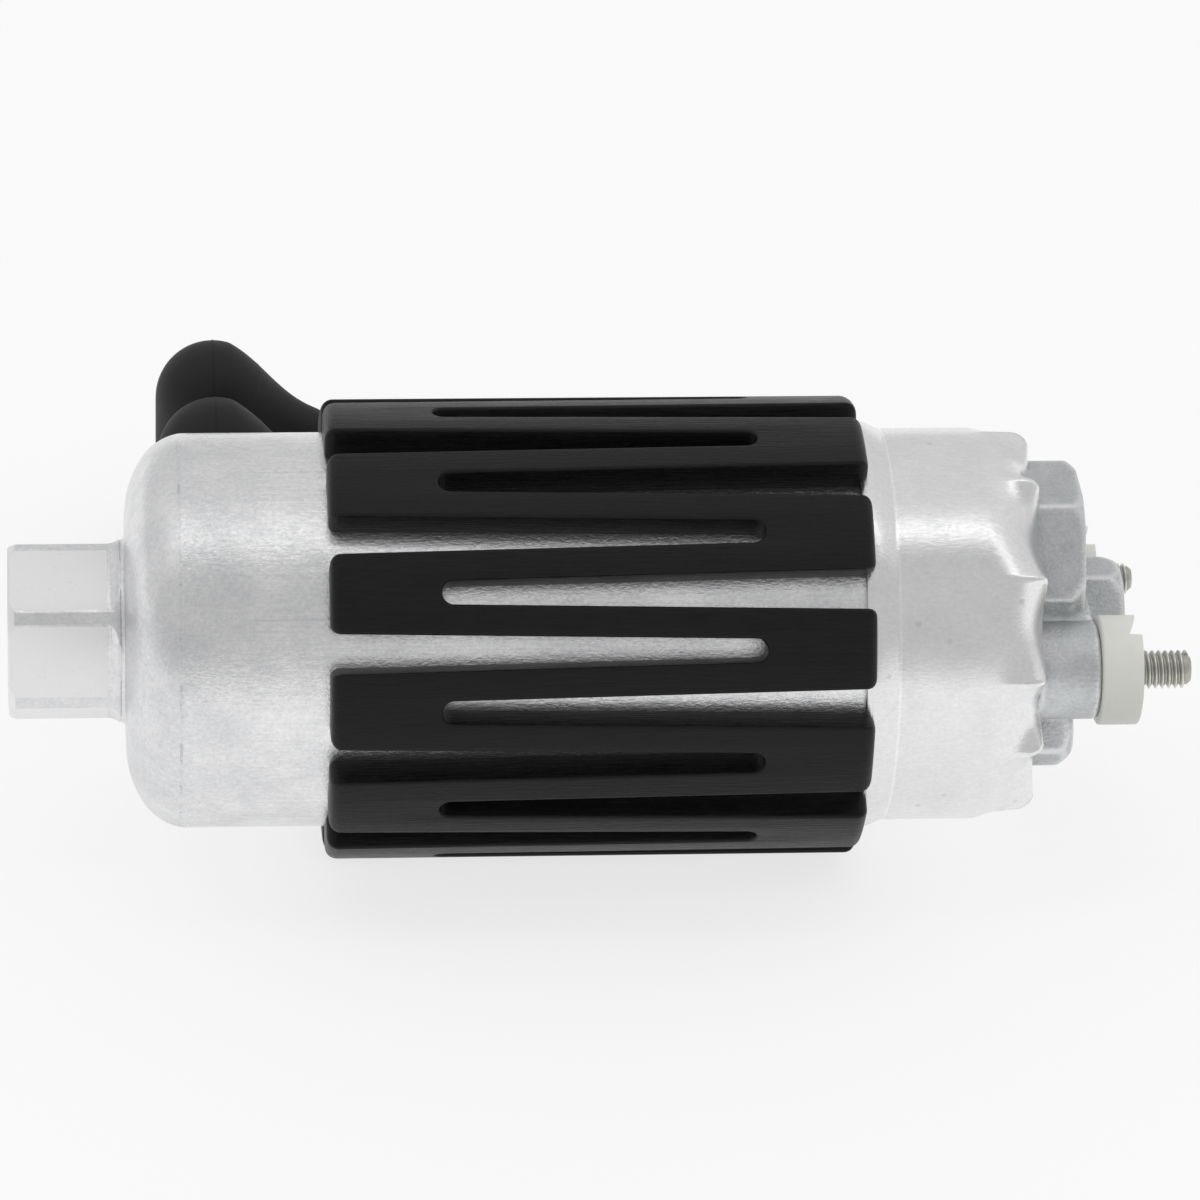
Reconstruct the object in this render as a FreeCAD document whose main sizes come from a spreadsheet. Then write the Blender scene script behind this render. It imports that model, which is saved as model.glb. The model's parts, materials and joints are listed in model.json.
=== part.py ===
# Electric in-line fuel pump for the outside of a tank, lying in its damping sleeve, terminal covers taken off.
# The pump's axis is X, from the inlet mouth at the origin to the outlet end. Z is up.
import FreeCAD, Part
import math
import operator
import os
import Sketcher

doc = FreeCAD.newDocument("fuel_pump")
sheet = doc.addObject("Spreadsheet::Sheet", "Sizes")
X_AXIS = FreeCAD.Vector(1, 0, 0)
Y_AXIS = FreeCAD.Vector(0, 1, 0)
Z_AXIS = FreeCAD.Vector(0, 0, 1)
ALONG_X = FreeCAD.Rotation(Y_AXIS, 90)
pieces = []
row_count = [0]


class Size:
    """A size that knows its value in millimetres and its formula on the sheet."""

    def __init__(self, value, text):
        self.value = value
        self.text = text

    def joined(self, other, sign, work, swapped=False):
        if not isinstance(other, Size):
            other = Size(other, "(%.9f)" % other)
        first, second = (other, self) if swapped else (self, other)
        return Size(work(first.value, second.value), "(%s %s %s)" % (first.text, sign, second.text))

    def __add__(self, other):
        return self.joined(other, "+", operator.add)

    def __sub__(self, other):
        return self.joined(other, "-", operator.sub)

    def __mul__(self, other):
        return self.joined(other, "*", operator.mul)

    def __truediv__(self, other):
        return self.joined(other, "/", operator.truediv)

    def __neg__(self):
        return self.joined(0, "-", operator.sub, swapped=True)

    def __rmul__(self, other):
        return self.joined(other, "*", operator.mul, swapped=True)


def size(alias, value):
    """Write one driving size on the sheet and give it back as a Size."""
    row_count[0] += 1
    sheet.set("A%d" % row_count[0], alias)
    sheet.set("B%d" % row_count[0], str(value))
    sheet.setAlias("B%d" % row_count[0], alias)
    return Size(value, "Sizes.%s" % alias)


def bind(thing, prop, amount):
    """Bind one property to the sheet."""
    if isinstance(amount, Size):
        thing.setExpression(prop, amount.text)
    elif amount:
        thing.setExpression(prop, "%.9f" % amount)


def place(thing, at, rotation=None):
    """Turn a thing and bind its place."""
    if rotation is not None:
        thing.Placement = FreeCAD.Placement(FreeCAD.Vector(0, 0, 0), rotation)
    for letter, amount in zip("xyz", at):
        bind(thing, "Placement.Base.%s" % letter, amount)
    return thing


def keep(thing, label):
    """Label a sub-part and put it on the list of pieces to write."""
    thing.Label = label
    pieces.append(thing)
    return thing


def value_of(amount):
    return amount.value if isinstance(amount, Size) else float(amount)


def origin_item(body, role):
    return [item for item in body.Origin.OriginFeatures if item.Role == role][0]


def draw_outline(sketch, outline):
    """Draw a closed outline, each corner held by two bound distances from the origin.

    A corner is (x, y), or (x, y, radius, side) where an arc leads to it. Side 1 bulges to the left of the way,
    and side -1 to the right.
    """
    count = len(outline)
    spots = [FreeCAD.Vector(value_of(corner[0]), value_of(corner[1]), 0) for corner in outline]
    joints = []
    for number, corner in enumerate(outline):
        start, end = spots[number - 1], spots[number]
        if len(corner) == 2:
            edge = sketch.addGeometry(Part.LineSegment(start, end), False)
            joints.append((edge, 1, 2))
            continue
        radius, side = value_of(corner[2]), corner[3]
        chord = end - start
        reach = math.sqrt(max(radius ** 2 - (chord.Length / 2) ** 2, 0.0))
        left = FreeCAD.Vector(-chord.y, chord.x, 0).normalize()
        centre = (start + end) * 0.5 - left * reach * side
        first, last = (end, start) if side > 0 else (start, end)
        begin = math.atan2(first.y - centre.y, first.x - centre.x)
        finish = math.atan2(last.y - centre.y, last.x - centre.x)
        circle = Part.Circle(centre, Z_AXIS, radius)
        edge = sketch.addGeometry(Part.ArcOfCircle(circle, begin, finish), False)
        joints.append((edge, 2, 1) if side > 0 else (edge, 1, 2))
        row = sketch.addConstraint(Sketcher.Constraint("Radius", edge, radius))
        bind(sketch, "Constraints[%d]" % row, corner[2])
    for number in range(count):
        edge, _, tail = joints[number]
        next_edge, head, _ = joints[(number + 1) % count]
        sketch.addConstraint(Sketcher.Constraint("Coincident", edge, tail, next_edge, head))
        across, upward = outline[number][:2]
        for word, axis, amount in (("DistanceX", -2, across), ("DistanceY", -1, upward)):
            if value_of(amount) == 0.0:
                sketch.addConstraint(Sketcher.Constraint("PointOnObject", edge, tail, axis))
                continue
            row = sketch.addConstraint(Sketcher.Constraint(word, -1, 1, edge, tail, value_of(amount)))
            bind(sketch, "Constraints[%d]" % row, amount)


def new_sketch(body, name, role="XZ_Plane", turn=0.0):
    """A sketch on one of the body's own origin planes, turned about the pump's axis."""
    sketch = body.newObject("Sketcher::SketchObject", name)
    sketch.AttachmentSupport = [(origin_item(body, role), "")]
    sketch.MapMode = "FlatFace"
    sketch.AttachmentOffset = FreeCAD.Placement(FreeCAD.Vector(0, 0, 0), FreeCAD.Rotation(X_AXIS, turn))
    return sketch


def turned(name, outline, sweep=360.0, roll=0.0):
    """A body turned about the X axis from an outline of (x, radius) corners."""
    body = doc.addObject("PartDesign::Body", name)
    sketch = new_sketch(body, name + "_outline")
    draw_outline(sketch, outline)
    turn = body.newObject("PartDesign::Revolution", name + "_turn")
    turn.Profile = sketch
    turn.ReferenceAxis = (sketch, ["H_Axis"])
    bind(turn, "Angle", sweep) if isinstance(sweep, Size) else setattr(turn, "Angle", sweep)
    turn.Midplane = value_of(sweep) < 360.0
    sketch.Visibility = False
    body.Tip = turn
    body.Placement = FreeCAD.Placement(FreeCAD.Vector(0, 0, 0), FreeCAD.Rotation(X_AXIS, roll))
    return body


def tube_outline(start, end, outer, inner):
    return [(start, inner), (start, outer), (end, outer), (end, inner)]


def cylinder(name, radius, length, at, rotation=ALONG_X):
    rod = doc.addObject("Part::Cylinder", name)
    bind(rod, "Radius", radius)
    bind(rod, "Height", length)
    return place(rod, at, rotation)


def hexagon(name, across, length, at, roll):
    """A hexagonal prism along X, its first corner turned by roll from straight down."""
    prism = doc.addObject("Part::Prism", name)
    prism.Polygon = 6
    bind(prism, "Circumradius", across / math.sqrt(3.0))
    bind(prism, "Height", length)
    return place(prism, at, FreeCAD.Rotation(X_AXIS, roll) * ALONG_X)


def block(name, lengths, at, rotation=None):
    box = doc.addObject("Part::Box", name)
    for prop, amount in zip(("Length", "Width", "Height"), lengths):
        bind(box, prop, amount)
    return place(box, at, rotation or FreeCAD.Rotation())


def fused(name, members):
    join = doc.addObject("Part::MultiFuse", name)
    join.Shapes = members
    join.Refine = True
    return join


def cut(name, base, tools):
    tool = tools[0] if len(tools) == 1 else fused(name + "_tools", tools)
    result = doc.addObject("Part::Cut", name)
    result.Base = base
    result.Tool = tool
    return result


def around(radius, degrees):
    """Where a point at this radius lies, the angle counted from the camera side, downwards positive."""
    angle = math.radians(degrees)
    return radius * (-math.cos(angle)), radius * (-math.sin(angle))


# Driving sizes of the housing
can_radius = size("can_radius", 30.0)
can_wall = size("can_wall", 1.5)
can_tail = size("can_tail", 130.3)
can_overlap = size("can_overlap", 2.7)
shell_reach = size("shell_reach", 24.4)
dome_start = size("dome_start", 17.3)
dome_depth = size("dome_depth", 9.0)
dome_wall = size("dome_wall", 3.0)
inlet_across = size("inlet_across", 25.0)
inlet_bore = size("inlet_bore", 8.25)
inlet_thread_depth = size("inlet_thread_depth", 11.8)
strainer_seat = size("strainer_seat", 7.9)
strainer_flange = size("strainer_flange", 1.2)
inlet_passage = size("inlet_passage", 6.6)
mouth_bevel = size("mouth_bevel", 1.2)
corner_trim = size("corner_trim", 0.5)
boss_inset = size("boss_inset", 1.0)
bead_length = size("bead_length", 5.1)
bead_wall = size("bead_wall", 1.3)
crimp_depth = size("crimp_depth", 7.6)
crimp_drop = size("crimp_drop", 4.9)
lobe_depth = size("lobe_depth", 1.8)
lobe_count = 12
slip = size("slip", 0.05)
gap = size("gap", 0.3)
fit = size("fit", 0.02)
ground = size("ground", 35.0)

# Driving sizes of the sleeve
sleeve_offset = size("sleeve_offset", 21.4)
sleeve_lap = size("sleeve_lap", 1.4)
sleeve_wall = size("sleeve_wall", 5.0)
slot_open_width = size("slot_open_width", 6.2)
slot_closed_width = size("slot_closed_width", 3.6)
slot_margin = size("slot_margin", 16.5)
slot_count = 12
first_slot = 6.0

can_bore = can_radius - can_wall
hex_corner = inlet_across / math.sqrt(3.0)
inlet_roll = -8.5
dome_end = dome_start + dome_depth
joint_start = can_tail - can_overlap
shell_end = can_tail + shell_reach
sleeve_start = dome_end + sleeve_offset
sleeve_end = joint_start + sleeve_lap
flange_end = inlet_thread_depth + strainer_flange

# Inlet can: a deep-drawn aluminium cup with a domed nose and a hexagonal inlet boss
nose_flare = size("nose_flare", 2.2)
cove_length = size("cove_length", 2.0)
cove_depth = size("cove_depth", 3.0)
cove_round = size("cove_round", 2.9)
face_depth = size("face_depth", 3.0)
shoulder_drop = size("shoulder_drop", 3.9)
room_drop = size("room_drop", 0.6)
small_arc = size("dome_shoulder_radius", 8.6)
large_arc = size("dome_face_radius", 42.0)
nose_radius = inlet_across * 0.5 + nose_flare
shoulder_x = dome_start + face_depth
shoulder_r = can_radius - shoulder_drop
can_body = turned("inlet_can_body", [
    (dome_start - cove_length, inlet_passage),
    (dome_start - cove_length, nose_radius - cove_depth),
    (dome_start, nose_radius, cove_round, -1),
    (shoulder_x, shoulder_r, large_arc, 1),
    (dome_end, can_radius, small_arc, 1),
    (can_tail, can_radius),
    (can_tail, can_bore),
    (dome_end + dome_wall, can_bore),
    (shoulder_x + dome_wall, shoulder_r - room_drop, small_arc, -1),
    (dome_start + dome_wall, inlet_passage)])
boss_end = dome_start - boss_inset
trimmed = hex_corner - corner_trim
boss_hex = hexagon("inlet_boss_hex", inlet_across, boss_end, (0, 0, 0), inlet_roll)
boss_turn = turned("inlet_boss_turn", [
    (0, 0),
    (0, trimmed - mouth_bevel),
    (mouth_bevel, trimmed),
    (boss_end, trimmed),
    (boss_end, 0)])
boss_common = doc.addObject("Part::Common", "inlet_boss")
boss_common.Base = boss_hex
boss_common.Tool = boss_turn
can_solid = fused("inlet_can_solid", [boss_common, can_body])
inlet_thread_hole = cylinder("inlet_thread_hole", inlet_bore, inlet_thread_depth, (0, 0, 0))
inlet_seat = cylinder("inlet_seat", strainer_seat, flange_end, (0, 0, 0))
inlet_way = cylinder("inlet_way", inlet_passage, dome_end, (0, 0, 0))
keep(cut("inlet_can", can_solid, [inlet_thread_hole, inlet_seat, inlet_way]), "inlet_can")

# Inlet strainer: a fine mesh cup on a brass flange, pressed into its seat behind the thread
strainer_wall = size("strainer_wall", 0.6)
strainer_length = size("strainer_length", 12.0)
strainer_taper = size("strainer_taper", 1.5)
strainer_radius = inlet_passage - gap
strainer_tip = flange_end + strainer_length
strainer = turned("inlet_strainer", [
    (inlet_thread_depth, strainer_radius - strainer_wall),
    (inlet_thread_depth, strainer_seat - fit),
    (flange_end - fit, strainer_seat - fit),
    (flange_end - fit, strainer_radius),
    (strainer_tip, strainer_radius - strainer_taper),
    (strainer_tip, 0),
    (strainer_tip - strainer_wall, 0),
    (strainer_tip - strainer_wall, strainer_radius - strainer_wall - strainer_taper)])
keep(strainer, "inlet_strainer")

# Outlet shell: its mouth is flared over the can's end. Its rim is rolled over the end cap and dented
bead_end = joint_start + bead_length
mouth_radius = can_radius + slip
bead_radius = mouth_radius + bead_wall
bead_round = size("bead_round", 0.5)
bead_land = size("bead_land", 1.6)
mouth_slope = size("mouth_slope", 1.8)
rim_start = shell_end - crimp_depth
crimp_round = (crimp_depth * crimp_depth + crimp_drop * crimp_drop) / (crimp_drop * 2)
crimp_centre = can_radius - crimp_round
inner_round = crimp_round - can_wall


def crimp_spot(radius):
    """Where the rolled rim ends, at this distance from the centre that it is rolled about."""
    return (rim_start + radius * crimp_depth / crimp_round,
            crimp_centre + radius * (crimp_round - crimp_drop) / crimp_round)


shell_body = turned("outlet_shell_body", [
    (joint_start, mouth_radius),
    (joint_start, bead_radius - bead_round),
    (joint_start + bead_round, bead_radius, bead_round, 1),
    (joint_start + bead_land, bead_radius),
    (bead_end, can_radius),
    (rim_start, can_radius),
    crimp_spot(crimp_round) + (crimp_round, 1),
    crimp_spot(inner_round),
    (rim_start, can_bore, inner_round, -1),
    (can_tail + mouth_slope, can_bore),
    (can_tail + slip, mouth_radius)])
lobe_radius = size("lobe_radius", 9.0)
dent_ball = size("dent_ball", 8.0)
dent_depth = size("dent_depth", 1.0)
dent_angle = math.radians(32.0)
dent_reach = crimp_round + dent_ball - dent_depth
dent_radius = crimp_centre + dent_reach * math.cos(dent_angle)
first_valley = 4.0
crimp_tools = []
for number in range(lobe_count):
    degrees = first_valley + number * 360.0 / lobe_count
    outwards = FreeCAD.Rotation(X_AXIS, degrees) * FreeCAD.Rotation(X_AXIS, 90)
    notch = cylinder("crimp_notch_%d" % number, lobe_radius, can_radius * 2,
                     (shell_end - lobe_depth + lobe_radius, 0, 0), outwards)
    side, height = around(1.0, degrees)
    ball = doc.addObject("Part::Sphere", "crimp_dent_%d" % number)
    bind(ball, "Radius", dent_ball)
    place(ball, (rim_start + dent_reach * math.sin(dent_angle), dent_radius * side, dent_radius * height))
    crimp_tools += [notch, ball]
keep(cut("outlet_shell", shell_body, crimp_tools), "outlet_shell")

# Damping sleeve: an elastomer tube, slotted from both ends in turn so that it stretches over the can
sleeve_radius = can_radius + sleeve_wall
sleeve_slip = size("sleeve_slip", 0.03)
sleeve_edge = size("sleeve_edge", 1.9)
bead_slope = size("bead_slope", 1.4)
slot_overrun = size("slot_overrun", 1.0)
tip_excess = 1.001
sleeve_bore = can_radius + sleeve_slip
sleeve_body = turned("damping_sleeve", [
    (sleeve_start, sleeve_bore),
    (sleeve_start, sleeve_radius - sleeve_edge),
    (sleeve_start + sleeve_edge, sleeve_radius, sleeve_edge, 1),
    (sleeve_end - sleeve_edge, sleeve_radius),
    (sleeve_end, sleeve_radius - sleeve_edge, sleeve_edge, 1),
    (sleeve_end, bead_radius + gap),
    (joint_start - gap, bead_radius + gap),
    (joint_start - gap - bead_slope, sleeve_bore)])
sleeve_turn = sleeve_body.Tip


def sleeve_slot(name, mouth, closed, direction, turn):
    """One slot through the sleeve's wall, wide at its open end, with a round closed end."""
    sketch = new_sketch(sleeve_body, name + "_outline", turn=turn)
    half_open = slot_open_width / 2
    half_closed = slot_closed_width / 2
    side = 1 if direction > 0 else -1
    draw_outline(sketch, [
        (mouth, -half_open),
        (closed, -half_closed),
        (closed, half_closed, half_closed * tip_excess, -side),
        (mouth, half_open)])
    pocket = sleeve_body.newObject("PartDesign::Pocket", name)
    pocket.Profile = sketch
    pocket.Length = 2 * value_of(sleeve_radius)
    bind(pocket, "Length", sleeve_radius * 1.5)
    pocket.Reversed = False
    sketch.Visibility = False
    return pocket


slot_from_inlet = sleeve_slot("slot_from_inlet", sleeve_start - slot_overrun,
                              sleeve_end - slot_margin - slot_closed_width / 2, 1, 0.0)
slot_from_outlet = sleeve_slot("slot_from_outlet", sleeve_end + slot_overrun,
                               sleeve_start + slot_margin + slot_closed_width / 2, -1, 180.0 / slot_count)
slots = sleeve_body.newObject("PartDesign::PolarPattern", "sleeve_slots")
slots.Originals = [slot_from_inlet, slot_from_outlet]
slots.Axis = (origin_item(sleeve_body, "X_Axis"), [""])
slots.Angle = 360
slots.Occurrences = slot_count
sleeve_body.Tip = slots
sleeve_body.Placement = FreeCAD.Placement(FreeCAD.Vector(0, 0, 0), FreeCAD.Rotation(X_AXIS, first_slot))
keep(sleeve_body, "damping_sleeve")

# End cap: a die casting with the outlet boss, a large and a small hexagonal boss and two round terminal bosses
cap_depth = size("cap_depth", 13.7)
face_inset = size("face_inset", 2.0)
cap_plate = size("cap_plate", 4.6)
cap_lip = size("cap_lip", 0.9)
cap_start = shell_end - cap_depth
cap_face = shell_end - face_inset
cap_radius = can_bore - fit
cap_inner = size("cap_inner", 22.0)
outlet_across = size("outlet_across", 18.0)
outlet_reach = size("outlet_reach", 15.3)
outlet_roll = 18.0
outlet_bore = size("outlet_bore", 5.25)
outlet_thread_depth = size("outlet_thread_depth", 12.0)
large_boss_across = size("large_boss_across", 25.0)
large_boss_length = size("large_boss_length", 7.9)
large_roll = 30.0
large_boss_height = size("large_boss_height", 12.0)
small_boss_across = size("small_boss_across", 11.0)
small_boss_length = size("small_boss_length", 6.65)
small_roll = -19.6
small_angle = 33.0
small_boss_reach = size("small_boss_reach", 17.6)
stud_reach = size("stud_reach", 18.0)
front_angle = -6.3
rear_angle = 171.5
terminal_boss_radius = size("terminal_boss_radius", 7.4)
front_boss_length = size("front_boss_length", 9.4)
rear_boss_length = size("rear_boss_length", 7.4)
insulator_tube = size("insulator_tube", 4.6)
collar_radius = size("collar_radius", 8.3)
valve_room = size("valve_room", 6.4)
outlet_way_radius = size("outlet_way_radius", 2.3)
cored_radius = size("cored_radius", 4.6)
cored_height = size("cored_height", 14.2)
cored_roof = size("cored_roof", 4.6)
valve_roof = size("valve_roof", 2.0)
spot_slip = size("spot_slip", 0.15)
outlet_end = shell_end + outlet_reach
large_boss_end = shell_end + large_boss_length
small_boss_end = shell_end + small_boss_length
front_boss_end = shell_end + front_boss_length
rear_boss_end = shell_end + rear_boss_length
valve_room_end = outlet_end - outlet_thread_depth - valve_roof

cap_disc = turned("cap_disc", [
    (cap_start, cap_inner),
    (cap_start, cap_radius),
    (rim_start, cap_radius),
    crimp_spot(inner_round - fit) + (inner_round - fit, 1),
    (cap_face, crimp_spot(inner_round)[1] - cap_lip),
    (cap_face, 0),
    (cap_face - cap_plate, 0),
    (cap_face - cap_plate, cap_inner)])


def chamfered_boss(name, across, start, end, at, roll, bevel, slope):
    """A hexagonal boss whose end is chamfered round."""
    column = hexagon(name + "_hex", across, end - start, (start,) + at, roll)
    corner = across / math.sqrt(3.0)
    cone = turned(name + "_cone", [
        (start, 0),
        (start, corner),
        (end - bevel * slope, corner),
        (end, corner - bevel),
        (end, 0)])
    place(cone, (0,) + at)
    boss = doc.addObject("Part::Common", name)
    boss.Base = column
    boss.Tool = cone
    return boss


boss_root = cap_face - cap_plate / 2
outlet_bevel = size("outlet_bevel", 1.3)
outlet_slope = 1.7
large_bevel = size("large_bevel", 1.4)
small_bevel = size("small_bevel", 2.0)
outlet_boss = chamfered_boss("outlet_boss", outlet_across, boss_root, outlet_end, (0, 0), outlet_roll,
                             outlet_bevel, outlet_slope)
large_boss = chamfered_boss("large_boss", large_boss_across, boss_root, large_boss_end,
                            (0, large_boss_height), large_roll, large_bevel, 1.0)
small_side, small_height = around(1.0, small_angle)
small_boss = chamfered_boss("small_boss", small_boss_across, boss_root, small_boss_end,
                            (small_boss_reach * small_side, small_boss_reach * small_height), small_roll,
                            small_bevel, 1.0)
front_side, front_height = around(1.0, front_angle)
rear_side, rear_height = around(1.0, rear_angle)
front_at = (stud_reach * front_side, stud_reach * front_height)
rear_at = (stud_reach * rear_side, stud_reach * rear_height)
front_boss = cylinder("front_boss", terminal_boss_radius, front_boss_end - boss_root, (boss_root,) + front_at)
rear_boss = cylinder("rear_boss", terminal_boss_radius, rear_boss_end - boss_root, (boss_root,) + rear_at)
web_width = size("web_width", 7.0)
web_length = size("web_length", 3.9)
web = block("cap_web", (cap_face + web_length - boss_root, stud_reach * 2, web_width),
            (boss_root, -stud_reach, web_width * -0.5))
bridge_out = size("bridge_out", 14.2)
bridge_top = size("bridge_top", 11.6)
bridge_drop = size("bridge_drop", 0.5)


def bridge(name, side, terminal_end, height):
    """The thick web that joins the large boss's lower corner to a terminal boss."""
    inner = large_boss_across * 0.5 / math.sqrt(3.0)
    return block(name, (terminal_end - bridge_drop - boss_root, bridge_out - inner, bridge_top - height),
                 (boss_root, inner if side > 0 else bridge_out * -1.0, height))


front_bridge = bridge("front_bridge", -1, front_boss_end, front_height * stud_reach)
rear_bridge = bridge("rear_bridge", 1, rear_boss_end, rear_height * stud_reach)
cap_solid = fused("end_cap_solid", [cap_disc, outlet_boss, large_boss, small_boss, front_boss, rear_boss,
                                    web, front_bridge, rear_bridge])
rim_room = turned("rim_room", [
    (rim_start, cap_radius),
    crimp_spot(inner_round - fit) + (inner_round - fit, 1),
    (shell_end + fit, crimp_spot(inner_round - fit)[1]),
    (shell_end + fit, can_radius),
    (rim_start, can_radius)])
spot_radius = collar_radius + spot_slip
cap_cuts = [
    rim_room,
    cylinder("outlet_thread_hole", outlet_bore, outlet_thread_depth, (outlet_end - outlet_thread_depth, 0, 0)),
    cylinder("outlet_way", outlet_way_radius, outlet_end - cap_start, (cap_start, 0, 0)),
    cylinder("cored_pocket", cored_radius, large_boss_end - cored_roof - cap_start,
             (cap_start, 0, cored_height)),
    cylinder("valve_room", valve_room, valve_room_end - cap_start, (cap_start, 0, 0)),
    cylinder("front_spot_face", spot_radius, outlet_end - front_boss_end, (front_boss_end,) + front_at),
    cylinder("rear_spot_face", spot_radius, outlet_end - rear_boss_end, (rear_boss_end,) + rear_at),
    cylinder("front_terminal_hole", insulator_tube + fit, outlet_end - cap_start, (cap_start,) + front_at),
    cylinder("rear_terminal_hole", insulator_tube + fit, outlet_end - cap_start, (cap_start,) + rear_at)]
keep(cut("end_cap", cap_solid, cap_cuts), "end_cap")

# End cap seal: a fuel-proof ring between the cap's edge and the shell
seal_width = size("seal_width", 1.8)
keep(turned("end_cap_seal", tube_outline(cap_start - seal_width - fit, cap_start - fit, can_bore - fit,
                                         can_bore - seal_width)), "end_cap_seal")

# Terminals: a threaded stud moulded into a nylon bush through each boss, the front one larger than the rear
collar_length = size("collar_length", 6.25)
collar_flat = size("collar_flat", 5.36)
collar_roll = 60.0
notch_floor = size("notch_floor", 2.05)
notch_brow = size("notch_brow", 0.45)
front_stud_radius = size("front_stud_radius", 2.9)
rear_stud_radius = size("rear_stud_radius", 2.4)
thread_depth = size("thread_depth", 0.45)
tube_reach = size("tube_reach", 1.7)
stud_head_length = size("stud_head_length", 1.6)
stud_head_radius = size("stud_head_radius", 4.5)
front_stud_length = size("front_stud_length", 14.35)
rear_stud_length = size("rear_stud_length", 12.6)
stud_chamfer = size("stud_chamfer", 0.6)
bush_start = cap_start - tube_reach


def terminal(side, boss_end, stud_length, stud_radius, at):
    """One terminal: its nylon bush, whose collar has a flat under a leaning wall, and the stud through it."""
    collar_end = boss_end + collar_length
    shank = stud_radius - thread_depth
    bush = turned(side + "_bush", [
        (bush_start, shank + fit),
        (bush_start, insulator_tube),
        (boss_end + fit, insulator_tube),
        (boss_end + fit, collar_radius),
        (collar_end, collar_radius),
        (collar_end, shank + fit)])
    place(bush, (0,) + at)
    lean = (notch_floor - notch_brow) / (collar_radius - collar_flat)
    notch = doc.addObject("Part::Wedge", side + "_collar_notch")
    reach = collar_radius * 2 - collar_flat
    for prop, amount in (("Xmin", -notch_floor), ("Xmax", collar_length), ("Ymin", collar_flat),
                         ("Ymax", collar_radius * 2), ("Zmin", -collar_radius), ("Zmax", collar_radius),
                         ("X2min", lean * reach - notch_floor), ("X2max", collar_length),
                         ("Z2min", -collar_radius), ("Z2max", collar_radius)):
        bind(notch, prop, amount)
    place(notch, (collar_end,) + at, FreeCAD.Rotation(X_AXIS, collar_roll))
    keep(cut("terminal_bush_" + side, bush, [notch]), "terminal_bush_" + side)
    tip = boss_end + stud_length
    head_end = bush_start - fit
    stud = turned(side + "_stud", [
        (head_end - stud_head_length, 0),
        (head_end - stud_head_length, stud_head_radius),
        (head_end, stud_head_radius),
        (head_end, shank),
        (collar_end + fit, shank),
        (collar_end + fit, stud_radius),
        (tip - stud_chamfer, stud_radius),
        (tip, stud_radius - stud_chamfer),
        (tip, 0)])
    place(stud, (0,) + at)
    keep(stud, "terminal_stud_" + side)


terminal("front", front_boss_end, front_stud_length, front_stud_radius, front_at)
terminal("rear", rear_boss_end, rear_stud_length, rear_stud_radius, rear_at)

# Outlet check valve: a seat pressed into the cap, a guided poppet and its return spring
seat_inset = size("seat_inset", 1.5)
seat_length = size("seat_length", 3.0)
seat_hole = size("seat_hole", 2.4)
seat_start = cap_start + seat_inset
seat_end = seat_start + seat_length
poppet_radius = size("poppet_radius", 4.2)
poppet_disc = size("poppet_disc", 2.0)
poppet_taper = size("poppet_taper", 0.6)
poppet_pin = size("poppet_pin", 1.6)
poppet_length = size("poppet_length", 6.0)
keep(turned("check_valve_seat", tube_outline(seat_start, seat_end, valve_room - fit, seat_hole)),
     "check_valve_seat")
poppet_start = seat_end + fit
keep(turned("check_valve_poppet", [
    (poppet_start, 0),
    (poppet_start, poppet_radius),
    (poppet_start + poppet_disc, poppet_radius - poppet_taper),
    (poppet_start + poppet_disc, poppet_pin),
    (poppet_start + poppet_length, poppet_pin),
    (poppet_start + poppet_length, 0)]), "check_valve_poppet")


def arc_from(start, end, tangent):
    """The arc from start to end that leaves start along this unit tangent."""
    chord = end - start
    along = FreeCAD.Vector(chord).normalize()
    aside = tangent - along * tangent.dot(along)
    half_turn = math.acos(max(-1.0, min(1.0, tangent.dot(along))))
    middle = (start + end) * 0.5 + aside.normalize() * (chord.Length / 2 * math.tan(half_turn / 2))
    return Part.Arc(start, middle, end).toShape()


def coil_path(radius, rise, turns):
    """A helix along Z drawn as a pair of tangent arcs for each quarter turn."""
    edges = []
    spots = []
    steepness = math.hypot(radius, rise / (2 * math.pi))
    for step in range(turns * 4 + 1):
        angle = math.pi / 2 * step
        outward = FreeCAD.Vector(math.cos(angle), math.sin(angle), 0)
        forward = FreeCAD.Vector(-math.sin(angle), math.cos(angle), 0) * radius
        climb = FreeCAD.Vector(0, 0, rise)
        spots.append((outward * radius + climb * (step / 4), (forward + climb / (2 * math.pi)) / steepness))
    for (start, leaving), (end, arriving) in zip(spots, spots[1:]):
        chord = end - start
        square = 2 * (leaving.dot(arriving) - 1)
        linear = -2 * chord.dot(leaving + arriving)
        constant = chord.dot(chord)
        handle = (-linear - math.sqrt(linear * linear - 4 * square * constant)) / (2 * square)
        if handle < 0:
            handle = (-linear + math.sqrt(linear * linear - 4 * square * constant)) / (2 * square)
        joint = (start + end + (leaving - arriving) * handle) * 0.5
        back = arc_from(end, joint, arriving * -1)
        halfway = back.Curve.value((back.FirstParameter + back.LastParameter) / 2)
        edges.append(arc_from(start, joint, leaving))
        edges.append(Part.Arc(joint, halfway, end).toShape())
    return Part.Wire(edges), spots[0]


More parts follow.
